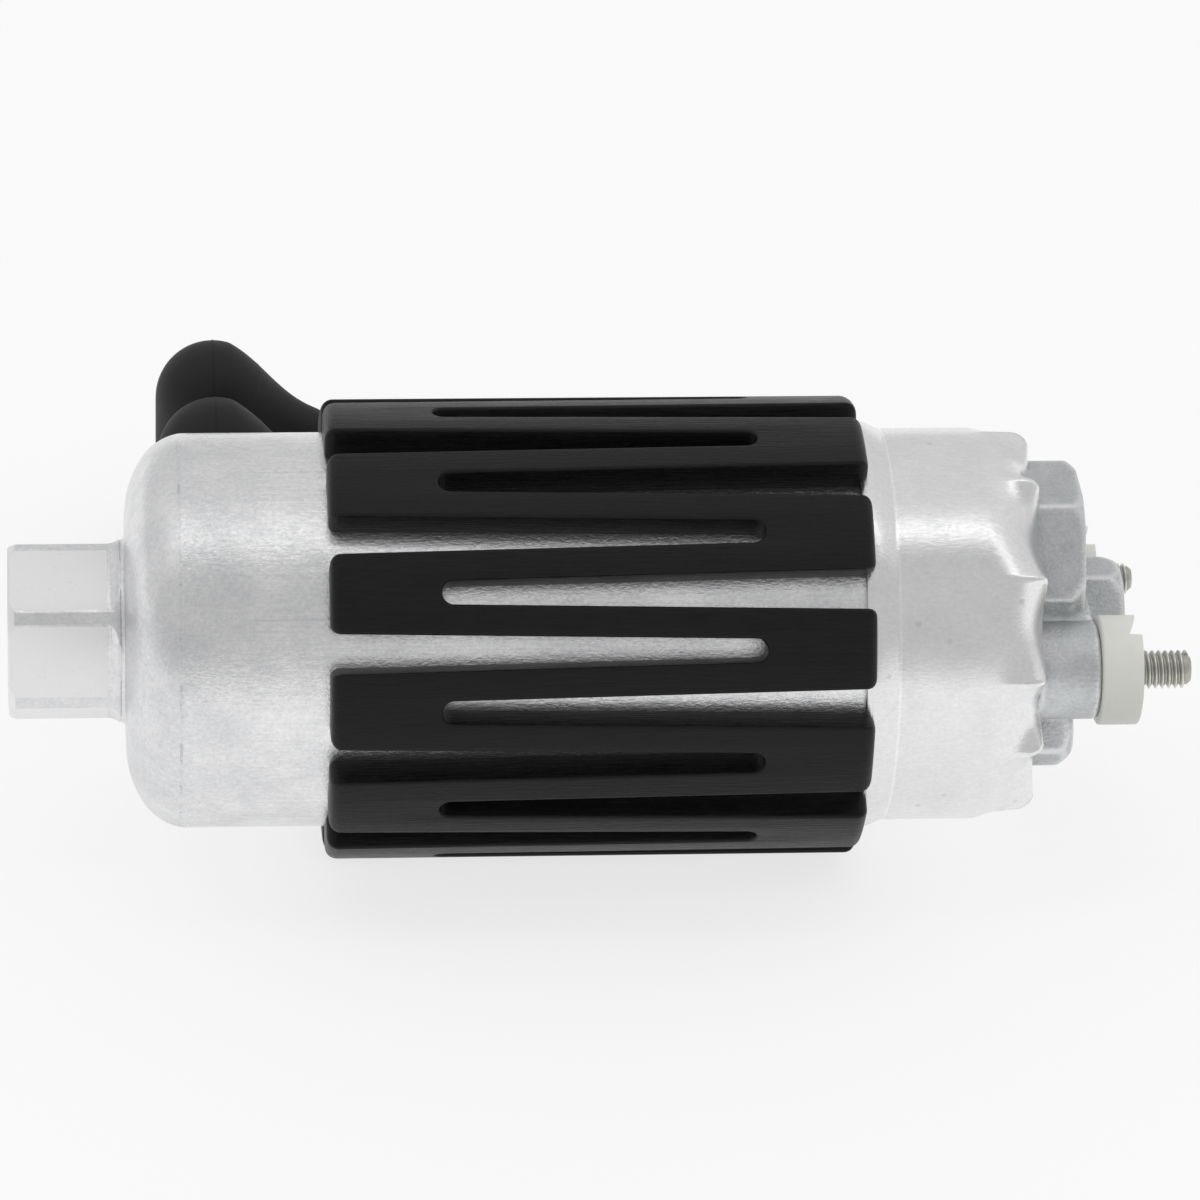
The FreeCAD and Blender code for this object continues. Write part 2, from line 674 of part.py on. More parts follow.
def coil(label, start, end, radius, wire, turns, at=(0.0, 0.0, 0.0), rotation=ALONG_X):
    """A helical spring of round wire from start to end along X, or turned to lie along another axis."""
    length = value_of(end) - value_of(start) - 2 * value_of(wire)
    path, (first, leaving) = coil_path(value_of(radius), length / turns, turns)
    section = Part.Wire(Part.makeCircle(value_of(wire), first, leaving))
    spring = doc.addObject("Part::Feature", label)
    spring.Shape = path.makePipeShell([section], True, False)
    offset = rotation.multVec(FreeCAD.Vector(0, 0, value_of(start) + value_of(wire)))
    middle = FreeCAD.Vector(*[value_of(amount) for amount in at])
    spring.Placement = FreeCAD.Placement(middle + offset, rotation)
    print(label, "least gap between turns", round(length / turns - 2 * value_of(wire), 2))
    return keep(spring, label)


seat_slip = size("seat_slip", 0.05)
check_spring_radius = size("check_spring_radius", 2.9)
check_spring_wire = size("check_spring_wire", 0.4)
check_spring_turns = 5
coil("check_valve_spring", poppet_start + poppet_disc + seat_slip, valve_room_end - seat_slip,
     check_spring_radius, check_spring_wire, check_spring_turns)

# Pump cell: two steel plates and a ring between them, pressed into the can behind the inlet chamber
cell_offset = size("cell_offset", 4.7)
cell_start = dome_end + cell_offset
inlet_plate_length = size("inlet_plate_length", 6.0)
cell_length = size("cell_length", 8.0)
outlet_plate_length = size("outlet_plate_length", 8.0)
shaft_radius = size("shaft_radius", 3.0)
bush_radius = size("bush_radius", 5.0)
bush_slip = size("bush_slip", 0.03)
port_radius = size("port_radius", 2.4)
port_reach = size("port_reach", 9.0)
relief_radius = size("relief_radius", 3.2)
relief_height = size("relief_height", 21.5)
relief_hole = size("relief_hole", 1.8)
relief_ball_radius = size("relief_ball_radius", 2.6)
shaft_pass = size("shaft_pass", 0.4)
chamber_start = cell_start + inlet_plate_length
chamber_end = chamber_start + cell_length
cell_end = chamber_end + outlet_plate_length
seat_radius = can_bore - fit

# The two meshing rotors: an inner one of four teeth in an outer one of five round lobes
inner_teeth = 4
eccentric = size("eccentric", 1.6)
lobe_circle = size("lobe_circle", 13.0)
lobe_round = size("lobe_round", 4.5)
mesh_gap = size("mesh_gap", 0.06)
side_gap = size("side_gap", 0.05)
ring_radius = size("ring_radius", 15.6)
root_gap = size("root_gap", 0.1)

inlet_plate = turned("inlet_plate_disc", tube_outline(cell_start, chamber_start, seat_radius, bush_radius))
keep(cut("inlet_plate", inlet_plate, [
    cylinder("inlet_port_low", port_radius, inlet_plate_length, (cell_start, port_reach, 0)),
    cylinder("relief_return", relief_hole, inlet_plate_length, (cell_start, 0, relief_height))]), "inlet_plate")
chamber_ring = turned("chamber_ring_disc", [
    (chamber_start, 0),
    (chamber_start, seat_radius),
    (chamber_end, seat_radius),
    (chamber_end, 0)])
keep(cut("chamber_ring", chamber_ring, [
    cylinder("chamber_bore", ring_radius + slip, cell_length, (chamber_start, 0, eccentric)),
    cylinder("relief_bore", relief_radius, cell_length, (chamber_start, 0, relief_height))]), "chamber_ring")
outlet_plate = turned("outlet_plate_disc",
                      tube_outline(chamber_end, cell_end, seat_radius, shaft_radius + shaft_pass))
keep(cut("outlet_plate", outlet_plate, [
    cylinder("outlet_port_high", port_radius, outlet_plate_length, (chamber_end, -port_reach, 0)),
    cylinder("relief_feed", relief_hole, outlet_plate_length, (chamber_end, 0, relief_height))]),
     "outlet_plate")


def rotor_profile(teeth, steps):
    """The inner rotor's outline, the curve that round lobes on a larger wheel roll off, drawn smooth."""
    lobes = teeth + 1
    shift = eccentric.value
    roller = lobe_round.value + mesh_gap.value
    points = []
    for step in range(steps):
        turn = 2 * math.pi * step / steps
        tilt = math.atan2(-math.sin(teeth * turn), lobe_circle.value / (shift * lobes) - math.cos(teeth * turn))
        side = (lobe_circle.value * math.cos(turn) - roller * math.cos(turn + tilt)
                - shift * math.cos(lobes * turn))
        rise = (roller * math.sin(turn + tilt) + shift * math.sin(lobes * turn)
                - lobe_circle.value * math.sin(turn))
        points.append(FreeCAD.Vector(side, rise, 0))
    curve = Part.BSplineCurve()
    curve.interpolate(Points=points, PeriodicFlag=True)
    return Part.Wire(curve.toShape())


profile_steps = 96
rotor_face = Part.Face(rotor_profile(inner_teeth, profile_steps))
rotor_length = cell_length.value - 2 * side_gap.value
rotor_shape = rotor_face.extrude(FreeCAD.Vector(0, 0, rotor_length))
rotor_shape = rotor_shape.cut(Part.makeCylinder(shaft_radius.value, rotor_length))
inner_rotor = doc.addObject("Part::Feature", "inner_rotor")
inner_rotor.Shape = rotor_shape
place(inner_rotor, (chamber_start + side_gap, 0, 0), ALONG_X)
keep(inner_rotor, "inner_rotor")

root_radius = lobe_circle - lobe_round + eccentric * 2 + root_gap
ring_start = chamber_start + side_gap
ring_length = cell_length - side_gap * 2
ring_blank = turned("outer_rotor_blank",
                    tube_outline(ring_start, ring_start + ring_length, ring_radius, root_radius))
place(ring_blank, (0, 0, eccentric))
lobes = []
for number in range(inner_teeth + 1):
    angle = 2 * math.pi * number / (inner_teeth + 1)
    lobe = cylinder("outer_rotor_lobe_%d" % number, lobe_round, ring_length,
                    (ring_start, lobe_circle * math.sin(angle), eccentric - lobe_circle * math.cos(angle)))
    lobes.append(lobe)
lobed = fused("outer_rotor_lobed", [ring_blank] + lobes)
rim = turned("outer_rotor_rim", [
    (ring_start, 0),
    (ring_start, ring_radius),
    (ring_start + ring_length, ring_radius),
    (ring_start + ring_length, 0)])
place(rim, (0, 0, eccentric))
outer_rotor = doc.addObject("Part::Common", "outer_rotor")
outer_rotor.Base = lobed
outer_rotor.Tool = rim
keep(outer_rotor, "outer_rotor")

# Relief valve: a ball held against the outlet plate's hole by a spring. It lets excess pressure back
ball_drop = size("ball_drop", 0.03)
ball_offset = math.sqrt(relief_ball_radius.value ** 2 - relief_hole.value ** 2)
ball_middle = chamber_end - relief_ball_radius * (ball_offset / relief_ball_radius.value) - ball_drop
relief_ball = doc.addObject("Part::Sphere", "relief_ball")
bind(relief_ball, "Radius", relief_ball_radius)
place(relief_ball, (ball_middle, 0, relief_height))
keep(relief_ball, "relief_ball")
relief_spring_radius = size("relief_spring_radius", 2.0)
relief_spring_wire = size("relief_spring_wire", 0.25)
relief_spring_turns = 3
relief_nest = size("relief_nest", 0.35)
coil("relief_spring", chamber_start + fit, ball_middle - relief_ball_radius + relief_nest,
     relief_spring_radius, relief_spring_wire, relief_spring_turns, (0.0, 0.0, relief_height))

# Motor: a steel flux tube with two magnets and their spring clips, between the pump cell and the brushes
plate_offset = size("plate_offset", 13.5)
box_reach = size("box_reach", 9.9)
plate_start = cap_start - plate_offset
box_start = plate_start - box_reach
tube_setback = size("tube_setback", 1.0)
tube_clear = size("tube_clear", 2.6)
tube_wall = size("tube_wall", 2.1)
magnet_inset = size("magnet_inset", 3.0)
magnet_setback = size("magnet_setback", 6.0)
magnet_bore = size("magnet_bore", 20.7)
magnet_angle = size("magnet_angle", 138.0)
clip_angle = size("clip_angle", 38.0)
clip_wall = size("clip_wall", 1.0)
air_gap = size("air_gap", 0.5)
tube_start = cell_end + tube_setback
tube_end = box_start - tube_clear
magnet_start = tube_start + magnet_setback
magnet_end = tube_end - magnet_inset
tube_bore = seat_radius - tube_wall
magnet_outer = tube_bore - fit
keep(turned("flux_tube", tube_outline(tube_start, tube_end, seat_radius, tube_bore)), "flux_tube")
for side, roll in (("upper", 0.0), ("lower", 180.0)):
    magnet = tube_outline(magnet_start, magnet_end, magnet_outer, magnet_bore)
    keep(turned("magnet_" + side, magnet, magnet_angle, roll), "magnet_" + side)
for side, roll in (("front", 90.0), ("rear", -90.0)):
    clip = tube_outline(magnet_start, magnet_end, magnet_outer, magnet_outer - clip_wall)
    keep(turned("magnet_clip_" + side, clip, clip_angle, roll), "magnet_clip_" + side)

# Armature: the shaft with its slotted core, windings and commutator, turning in two bronze bushes
shaft_inset = size("shaft_inset", 1.0)
shaft_reach = size("shaft_reach", 6.5)
shaft_chamfer = size("shaft_chamfer", 0.4)
core_inset = size("core_inset", 6.0)
slot_reach = size("slot_reach", 15.2)
slot_round = size("slot_round", 2.8)
winding_slots = 8
bar_reach = size("bar_reach", 1.0)
end_turn = size("end_turn", 6.5)
end_turn_radius = size("end_turn_radius", 18.2)
end_turn_bore = size("end_turn_bore", 9.0)
end_turn_edge = size("end_turn_edge", 1.5)
commutator_gap = size("commutator_gap", 1.0)
commutator_length = size("commutator_length", 9.5)
commutator_radius = size("commutator_radius", 9.0)
hub_radius = size("hub_radius", 6.0)
bar_gap = size("bar_gap", 0.7)
bar_gap_depth = size("bar_gap_depth", 1.2)
shaft_start = cell_start + shaft_inset
shaft_end = plate_start + shaft_reach
core_start = magnet_start + core_inset
core_end = magnet_end - core_inset
core_radius = magnet_bore - air_gap
commutator_end = plate_start - commutator_gap
commutator_start = commutator_end - commutator_length
keep(turned("armature_shaft", [
    (shaft_start, 0),
    (shaft_start, shaft_radius - shaft_chamfer),
    (shaft_start + shaft_chamfer, shaft_radius),
    (shaft_end - shaft_chamfer, shaft_radius),
    (shaft_end, shaft_radius - shaft_chamfer),
    (shaft_end, 0)]), "armature_shaft")
core_body = turned("armature_core_blank", tube_outline(core_start, core_end, core_radius, shaft_radius))
core_slots, winding_bars = [], []
for number in range(winding_slots):
    angle = 2 * math.pi * number / winding_slots
    across, up = math.cos(angle), math.sin(angle)
    core_slots.append(cylinder("core_slot_%d" % number, slot_round, core_end - core_start,
                               (core_start, slot_reach * across, slot_reach * up)))
    bar_length = core_end - core_start + bar_reach * 2
    winding_bars.append(cylinder("winding_bar_%d" % number, slot_round - fit, bar_length,
                                 (core_start - bar_reach, slot_reach * across, slot_reach * up)))
keep(cut("armature_core", core_body, core_slots), "armature_core")
end_turns = []
for name, start in (("pump_side", core_start - fit - end_turn), ("brush_side", core_end + fit)):
    end_turns.append(turned("end_turn_" + name, [
        (start, end_turn_bore),
        (start, end_turn_radius - end_turn_edge),
        (start + end_turn_edge, end_turn_radius, end_turn_edge, 1),
        (start + end_turn - end_turn_edge, end_turn_radius),
        (start + end_turn, end_turn_radius - end_turn_edge, end_turn_edge, 1),
        (start + end_turn, end_turn_bore)]))
keep(fused("armature_windings", end_turns + winding_bars), "armature_windings")
keep(turned("commutator_hub", tube_outline(core_end, commutator_end, hub_radius, shaft_radius)),
     "commutator_hub")
bars_blank = turned("commutator_blank",
                    tube_outline(commutator_start, commutator_end, commutator_radius, hub_radius))
bar_gaps = []
for number in range(winding_slots):
    degrees = 360.0 / winding_slots * (number + 0.5)
    angle = math.radians(degrees)
    floor = commutator_radius - bar_gap_depth
    half = bar_gap / 2
    corner = (commutator_start, floor * math.cos(angle) + half * math.sin(angle),
              floor * math.sin(angle) - half * math.cos(angle))
    bar_gaps.append(block("bar_gap_%d" % number, (commutator_length, commutator_radius, bar_gap), corner,
                          FreeCAD.Rotation(X_AXIS, degrees)))
keep(cut("commutator_bars", bars_blank, bar_gaps), "commutator_bars")
keep(turned("pump_end_bush", tube_outline(shaft_start, chamber_start - slip, bush_radius - fit,
                                          shaft_radius + bush_slip)), "pump_end_bush")

# Brush gear: a moulded plate with two boxes, each with a carbon brush and its spring
plate_length = size("plate_length", 5.0)
plate_slip = size("plate_slip", 0.1)
brush_bush_radius = size("brush_bush_radius", 5.5)
brush_bush_back = size("brush_bush_back", 0.5)
brush_bush_front = size("brush_bush_front", 1.0)
brush_width = size("brush_width", 5.0)
brush_height = size("brush_height", 4.0)
brush_length = size("brush_length", 8.5)
box_wall = size("box_wall", 1.6)
box_inner = size("box_inner", 10.6)
box_outer = size("box_outer", 25.6)
box_root = size("box_root", 0.5)
mouth_reach = size("mouth_reach", 1.0)
brush_slip = size("brush_slip", 0.06)
lead_thickness = size("lead_thickness", 0.8)
lead_width = size("lead_width", 3.0)
lead_lift = size("lead_lift", 0.1)
plate_end = plate_start + plate_length
plate_disc = turned("brush_plate_disc",
                    tube_outline(plate_start, plate_end, can_bore - plate_slip, brush_bush_radius))
brush_middle = (box_start + plate_start) / 2
box_height = brush_height + box_wall * 2
brush_foot = commutator_radius + slip
channel_inner = box_inner - mouth_reach
channel_outer = box_outer - box_wall
channel_width = brush_width + brush_slip * 2
channel_height = brush_height + brush_slip * 2
lead_top = lead_thickness + box_height / 2 + lead_lift
lead_tip = bush_start - fit * 2 - stud_head_length
members, hollows = [plate_disc], []


def across(rear, near_axis, length):
    """Where a box of this length across the pump starts, on the front or the rear side."""
    return near_axis if rear else -(near_axis + length)


for name, rear in (("front", False), ("rear", True)):
    box_span = box_outer - box_inner
    members.append(block(name + "_brush_box", (plate_start - box_start + box_root, box_span, box_height),
                         (box_start, across(rear, box_inner, box_span), box_height * -0.5)))
    channel_span = channel_outer - channel_inner
    hollows.append(block(name + "_brush_channel", (channel_width, channel_span, channel_height),
                         (brush_middle - channel_width / 2, across(rear, channel_inner, channel_span),
                          channel_height * -0.5)))
    brush = block("carbon_brush_" + name, (brush_width, brush_length, brush_height),
                  (brush_middle - brush_width / 2, across(rear, brush_foot, brush_length), brush_height * -0.5))
    keep(brush, "carbon_brush_" + name)
    lead_low = -lead_top if rear else lead_top - lead_thickness
    lead_side = across(rear, stud_reach - lead_width / 2, lead_width)
    slot_lengths = (plate_length * 2, lead_width + slip * 2, lead_thickness + slip * 2)
    hollows.append(block(name + "_lead_slot", slot_lengths,
                         (plate_start - plate_length / 2, lead_side - slip, lead_low - slip)))
    lead = block("brush_lead_" + name, (lead_tip - box_start, lead_width, lead_thickness),
                 (box_start, lead_side, lead_low))
    keep(lead, "brush_lead_" + name)
holder_solid = fused("brush_holder_solid", members)
keep(cut("brush_holder", holder_solid, hollows), "brush_holder")
brush_spring_radius = size("brush_spring_radius", 1.5)
brush_spring_wire = size("brush_spring_wire", 0.2)
brush_spring_turns = 6
for name, degrees in (("front", 90.0), ("rear", -90.0)):
    coil("brush_spring_" + name, brush_foot + brush_length + fit, channel_outer - fit,
         brush_spring_radius, brush_spring_wire, brush_spring_turns, (brush_middle, 0.0, 0.0),
         FreeCAD.Rotation(X_AXIS, degrees))
brush_bush = tube_outline(plate_start - brush_bush_back, plate_end + brush_bush_front,
                          brush_bush_radius - fit, shaft_radius + bush_slip)
keep(turned("brush_end_bush", brush_bush), "brush_end_bush")

# Terminal covers: two rubber elbows taken off the studs, standing on their mouths behind the pump
cover_radius = size("cover_radius", 9.4)
cover_height = size("cover_height", 35.8)
cover_x = size("cover_x", 33.3)
cover_near = size("cover_near", 70.8)
cover_pitch = size("cover_pitch", 19.6)
cover_wall = size("cover_wall", 1.05)
cover_roof = size("cover_roof", 5.2)
cover_corner = size("cover_corner", 3.0)
neck_drop = size("neck_drop", 18.0)
neck_radius = size("neck_radius", 4.6)
neck_bore = size("neck_bore", 3.0)
neck_length = size("neck_length", 34.0)
gusset_length = size("gusset_length", 17.5)
gusset_inset = size("gusset_inset", 0.1)
cover_top = cover_height - ground
crown = cover_top - cover_radius
neck_height = cover_top - neck_drop
gusset_fall = neck_drop - cover_radius
gusset_slope = math.degrees(math.atan2(gusset_fall.value, gusset_length.value))
gusset_stretch = math.hypot(gusset_fall.value, gusset_length.value) / gusset_length.value
for number, name in enumerate(("near", "far")):
    side = cover_near + cover_pitch * number
    skirt = cylinder(name + "_cover_skirt", cover_radius, cover_height - cover_radius, (cover_x, side, -ground),
                     FreeCAD.Rotation())
    dome = doc.addObject("Part::Sphere", name + "_cover_dome")
    bind(dome, "Radius", cover_radius)
    place(dome, (cover_x, side, crown))
    neck = cylinder(name + "_cover_neck", neck_radius, neck_length, (cover_x, side, neck_height))
    gusset = doc.addObject("Part::Cone", name + "_cover_gusset")
    bind(gusset, "Radius1", cover_radius - gusset_inset)
    bind(gusset, "Radius2", neck_radius - gusset_inset)
    bind(gusset, "Height", gusset_length * gusset_stretch)
    place(gusset, (cover_x, side, crown), FreeCAD.Rotation(Y_AXIS, 90.0 + gusset_slope))
    solid = fused(name + "_cover_solid", [skirt, dome, neck, gusset])
    room_radius = cover_radius - cover_wall
    room_top = cover_height - cover_roof
    room = turned(name + "_cover_room", [
        (0, 0),
        (0, room_radius),
        (room_top - cover_corner, room_radius),
        (room_top, room_radius - cover_corner, cover_corner, 1),
        (room_top, 0)])
    place(room, (cover_x, side, -ground), FreeCAD.Rotation(Y_AXIS, -90.0))
    way = cylinder(name + "_cover_way", neck_bore, neck_length, (cover_x, side, neck_height))
    keep(cut("terminal_cover_" + name, solid, [room, way]), "terminal_cover_" + name)

doc.recompute()
faults = [thing.Name for thing in doc.Objects if "Invalid" in thing.State or "Error" in thing.State]
for piece in pieces:
    if piece.Shape.isNull() or not piece.Shape.isValid() or not piece.Shape.Solids:
        faults.append(piece.Label)
    else:
        print(piece.Label, round(piece.Shape.Volume, 1), len(piece.Shape.Solids))
if faults:
    raise RuntimeError("these objects failed: %s" % ", ".join(faults))
os.makedirs("parts", exist_ok=True)
for piece in pieces:
    piece.Shape.exportStep("parts/%s.step" % piece.Label)
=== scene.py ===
import bpy
import bmesh
import json
import math
from mathutils import Matrix, Vector


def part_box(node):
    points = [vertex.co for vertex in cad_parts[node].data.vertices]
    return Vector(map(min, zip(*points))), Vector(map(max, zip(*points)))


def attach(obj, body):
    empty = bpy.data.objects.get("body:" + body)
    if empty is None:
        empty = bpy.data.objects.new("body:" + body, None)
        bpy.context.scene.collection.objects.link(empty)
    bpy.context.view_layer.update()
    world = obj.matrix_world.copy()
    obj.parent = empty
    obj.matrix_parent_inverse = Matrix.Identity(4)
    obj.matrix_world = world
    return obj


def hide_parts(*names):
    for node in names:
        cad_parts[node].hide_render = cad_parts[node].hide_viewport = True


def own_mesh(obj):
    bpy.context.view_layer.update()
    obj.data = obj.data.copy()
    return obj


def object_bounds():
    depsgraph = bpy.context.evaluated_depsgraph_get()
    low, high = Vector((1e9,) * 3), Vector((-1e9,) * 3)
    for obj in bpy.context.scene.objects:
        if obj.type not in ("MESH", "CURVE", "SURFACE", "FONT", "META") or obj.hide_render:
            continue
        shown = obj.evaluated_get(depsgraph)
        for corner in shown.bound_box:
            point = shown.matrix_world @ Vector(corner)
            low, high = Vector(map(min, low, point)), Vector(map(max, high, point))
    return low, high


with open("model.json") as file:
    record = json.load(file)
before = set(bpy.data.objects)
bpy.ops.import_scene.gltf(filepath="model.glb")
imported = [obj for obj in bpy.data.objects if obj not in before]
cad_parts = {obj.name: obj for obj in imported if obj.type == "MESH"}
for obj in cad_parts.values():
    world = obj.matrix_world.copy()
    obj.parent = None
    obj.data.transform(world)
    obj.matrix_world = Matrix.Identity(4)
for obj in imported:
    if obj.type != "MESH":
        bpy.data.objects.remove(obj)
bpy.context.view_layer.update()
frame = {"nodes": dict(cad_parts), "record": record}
MM = 0.001


# The pump lies on a white table under a long lamp, in a pale room that is a little darker on the camera's
# side. The table turns white to the camera and in reflections, and keeps the soft shadow. The room is white
# to the camera alone, so that the metal shows its bands of light and dark.
def add(tree, kind, inputs=None, **settings):
    """Add a shader node, set it up, and link or fill its inputs."""
    made = tree.nodes.new("ShaderNode" + kind)
    for name, setting in settings.items():
        setattr(made, name, setting)
    for name, given in (inputs or {}).items():
        if isinstance(given, bpy.types.NodeSocket):
            tree.links.new(given, made.inputs[name])
        else:
            made.inputs[name].default_value = given
    return made


def grey(level):
    return (level, level, level, 1.0)


def stage_white(name, bounce, seen_paint, seen_glow):
    """A matt white that is nearly pure white to the camera and in reflections, apart from its shadow."""
    finish = bpy.data.materials.new(name)
    finish.use_nodes = True
    tree = finish.node_tree
    tree.nodes.clear()
    ray = add(tree, "LightPath")
    seen = add(tree, "Math", {0: ray.outputs["Is Camera Ray"], 1: ray.outputs["Is Glossy Ray"]},
               operation="MAXIMUM")
    shown = add(tree, "Math", {0: seen.outputs[0], 1: ray.outputs["Is Transmission Ray"]},
                operation="MAXIMUM")
    plain = add(tree, "BsdfDiffuse", {"Color": grey(bounce)})
    paint = add(tree, "BsdfDiffuse", {"Color": grey(seen_paint)})
    glow = add(tree, "Emission", {"Strength": seen_glow})
    bright = add(tree, "AddShader", {0: paint.outputs[0], 1: glow.outputs[0]})
    mix = add(tree, "MixShader", {0: shown.outputs[0], 1: plain.outputs[0], 2: bright.outputs[0]})
    add(tree, "OutputMaterial", {"Surface": mix.outputs[0]})
    return finish


pump_middle = 0.09
table_size = 8.0
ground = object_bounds()[0][2]
bpy.ops.object.select_all(action="DESELECT")
bpy.ops.mesh.primitive_plane_add(size=table_size, location=(pump_middle, 0, ground))
table = bpy.context.object
table.name = "table"
table.data.materials.append(stage_white("table_white", bounce=0.75, seen_paint=0.3, seen_glow=0.74))

lamp_height = 1.3
lamp_length = 2.4
lamp_width = 0.12
lamp_offset = -0.10
lamp_power = 1.25
lamp_data = bpy.data.lights.new("long_lamp", "AREA")
lamp_data.shape = "RECTANGLE"
lamp_data.size = lamp_length
lamp_data.size_y = lamp_width
lamp_data.energy = lamp_power
lamp = bpy.data.objects.new("long_lamp", lamp_data)
lamp.location = (pump_middle, lamp_offset, lamp_height)
bpy.context.scene.collection.objects.link(lamp)

# The room's brightness by the angle over the top, from the camera's side (0) to the far wall (1).
room_levels = ((0.0, 0.68), (0.09, 0.58), (0.36, 0.60), (0.40, 0.48), (0.44, 0.68), (0.54, 0.80),
               (0.62, 0.74), (1.0, 0.68))
world = bpy.data.worlds.new("studio")
bpy.context.scene.world = world
world.use_nodes = True
room = world.node_tree
room.nodes.clear()
direction = add(room, "SeparateXYZ", {0: add(room, "TexCoord").outputs["Generated"]})
near_side = add(room, "Math", {0: direction.outputs[1], 1: -1.0}, operation="MULTIPLY")
over = add(room, "Math", {0: direction.outputs[2], 1: near_side.outputs[0]}, operation="ARCTAN2")
share = add(room, "Math", {0: over.outputs[0], 1: math.pi}, operation="DIVIDE")
ramp = add(room, "ValToRGB", {0: share.outputs[0]})
for number, (spot, level) in enumerate(room_levels):
    stop = ramp.color_ramp.elements[number] if number < 2 else ramp.color_ramp.elements.new(spot)
    stop.position = spot
    stop.color = grey(level)
walls = add(room, "Background", {"Color": ramp.outputs[0]})
white = add(room, "Background", {"Color": grey(1.0)})
camera_ray = add(room, "LightPath").outputs["Is Camera Ray"]
backdrop = add(room, "MixShader", {0: camera_ray, 1: walls.outputs[0], 2: white.outputs[0]})
add(room, "OutputWorld", {"Surface": backdrop.outputs[0]})
bpy.context.scene.view_settings.view_transform = "Standard"

# Camera: a long lens about a metre away, 30 degrees above the pump and seen a little from the inlet's end. It
# leans two degrees, so the pump's axis climbs slightly to the right as in the photograph.
look_down = math.radians(30.0)
look_across = math.radians(5.2)
lean = math.radians(2.07)
aim = Vector((90.2, 0, 0)) * MM
distance = 1062 * MM
below_centre = 4.03 * MM
ahead = Vector((math.sin(look_across) * math.cos(look_down), math.cos(look_across) * math.cos(look_down),
                -math.sin(look_down)))
level_right = Vector((math.cos(look_across), -math.sin(look_across), 0))
level_up = level_right.cross(ahead)
right = level_right * math.cos(lean) + level_up * math.sin(lean)
up = level_up * math.cos(lean) - level_right * math.sin(lean)
camera_data = bpy.data.cameras.new("camera")
camera_data.sensor_width = 36.0
camera_data.lens = 208.35
camera = bpy.data.objects.new("camera", camera_data)
bpy.context.scene.collection.objects.link(camera)
turn = Matrix((right, up, -ahead)).transposed().to_4x4()
camera.matrix_world = Matrix.Translation(aim - ahead * distance + up * below_centre) @ turn
bpy.context.scene.camera = camera

# The inlet can is one deep-drawn aluminium cup: a hexagonal boss with its corners turned off, a domed nose
# and a long barrel. The boss is milled flat on six sides, and its flats run out in a cove against the dome.
can_radius = 30.0
boss_apothem = 12.5
corner_land = 1.8
boss_roll = -8.5
corner_radius = 13.93
flat_end = 14.9
cove_end = 16.9
cove_radius = 2.13
cove_turn = 60
nose_fillet = 0.6
nose_start = 17.68
mouth_edge = 0.35
tail = 130.3
wall = 1.5


def effect(name, inputs, outputs):
    """A new shader node group with named inputs and outputs."""
    group = bpy.data.node_groups.new(name, "ShaderNodeTree")
    for title, kind, start in inputs:
        socket = group.interface.new_socket(name=title, in_out="INPUT", socket_type="NodeSocket" + kind)
        if start is not None:
            socket.default_value = start
    for title, kind in outputs:
        group.interface.new_socket(name=title, in_out="OUTPUT", socket_type="NodeSocket" + kind)
    given = group.nodes.new("NodeGroupInput")
    result = group.nodes.new("NodeGroupOutput")
    return group, given.outputs, result.inputs


def give(tree, result, **values):
    """Link values to a group's outputs, whose names are the words with capitals."""
    for word, value in values.items():
        tree.links.new(value, result[word.title()])


def use(tree, group, **values):
    """Place a node group in a material, fill its inputs by name, and return its outputs."""
    made = tree.nodes.new("ShaderNodeGroup")
    made.node_tree = group
    for word, value in values.items():
        socket = made.inputs[word.replace("_", " ").title()]
        if isinstance(value, bpy.types.NodeSocket):
            tree.links.new(value, socket)
        else:
            socket.default_value = value
    return made.outputs


def sum_of(tree, operation, *given):
    """The result of one step of arithmetic."""
    return add(tree, "Math", dict(enumerate(given)), operation=operation).outputs[0]


def between(tree, share, low, high):
    """A value or colour that runs from low to high as share runs from 0 to 1."""
    if isinstance(low, tuple):
        made = add(tree, "Mix", {0: share}, data_type="RGBA")
        made.inputs[6].default_value = low + (1,)
        made.inputs[7].default_value = high + (1,)
        return made.outputs[2]
    return add(tree, "MapRange", {"Value": share, "To Min": low, "To Max": high}).outputs[0]


def noise(tree, place, scale, detail=3.0, roughness=0.5):
    """Cloudy noise, whose scale is in waves to the millimetre."""
    return add(tree, "TexNoise", {"Vector": place, "Scale": scale, "Detail": detail,
                                  "Roughness": roughness}).outputs[0]


def share_of(tree, value, start, end):
    """How far a value has come from start (0) to end (1)."""
    return add(tree, "MapRange", {"Value": value, "From Min": start, "From Max": end}).outputs[0]


def new_finish(name, metallic=0.0):
    """An empty material with its node tree and its Principled shader."""
    finish = bpy.data.materials.new(name)
    finish.use_nodes = True
    shader = finish.node_tree.nodes["Principled BSDF"]
    shader.inputs["Metallic"].default_value = metallic
    return finish, finish.node_tree, shader


def surface(tree, shader, colour, roughness, height, depth):
    """Link a finish's colour, roughness and bump, whose depth is in millimetres."""
    bump = add(tree, "Bump", {"Height": height, "Strength": 1.0, "Distance": depth * MM})
    tree.links.new(colour, shader.inputs["Base Color"])
    tree.links.new(roughness, shader.inputs["Roughness"])
    tree.links.new(bump.outputs[0], shader.inputs["Normal"])


def paint(piece, finish):
    """Give a piece one finish all over."""
    piece.data.materials.clear()
    piece.data.materials.append(finish)


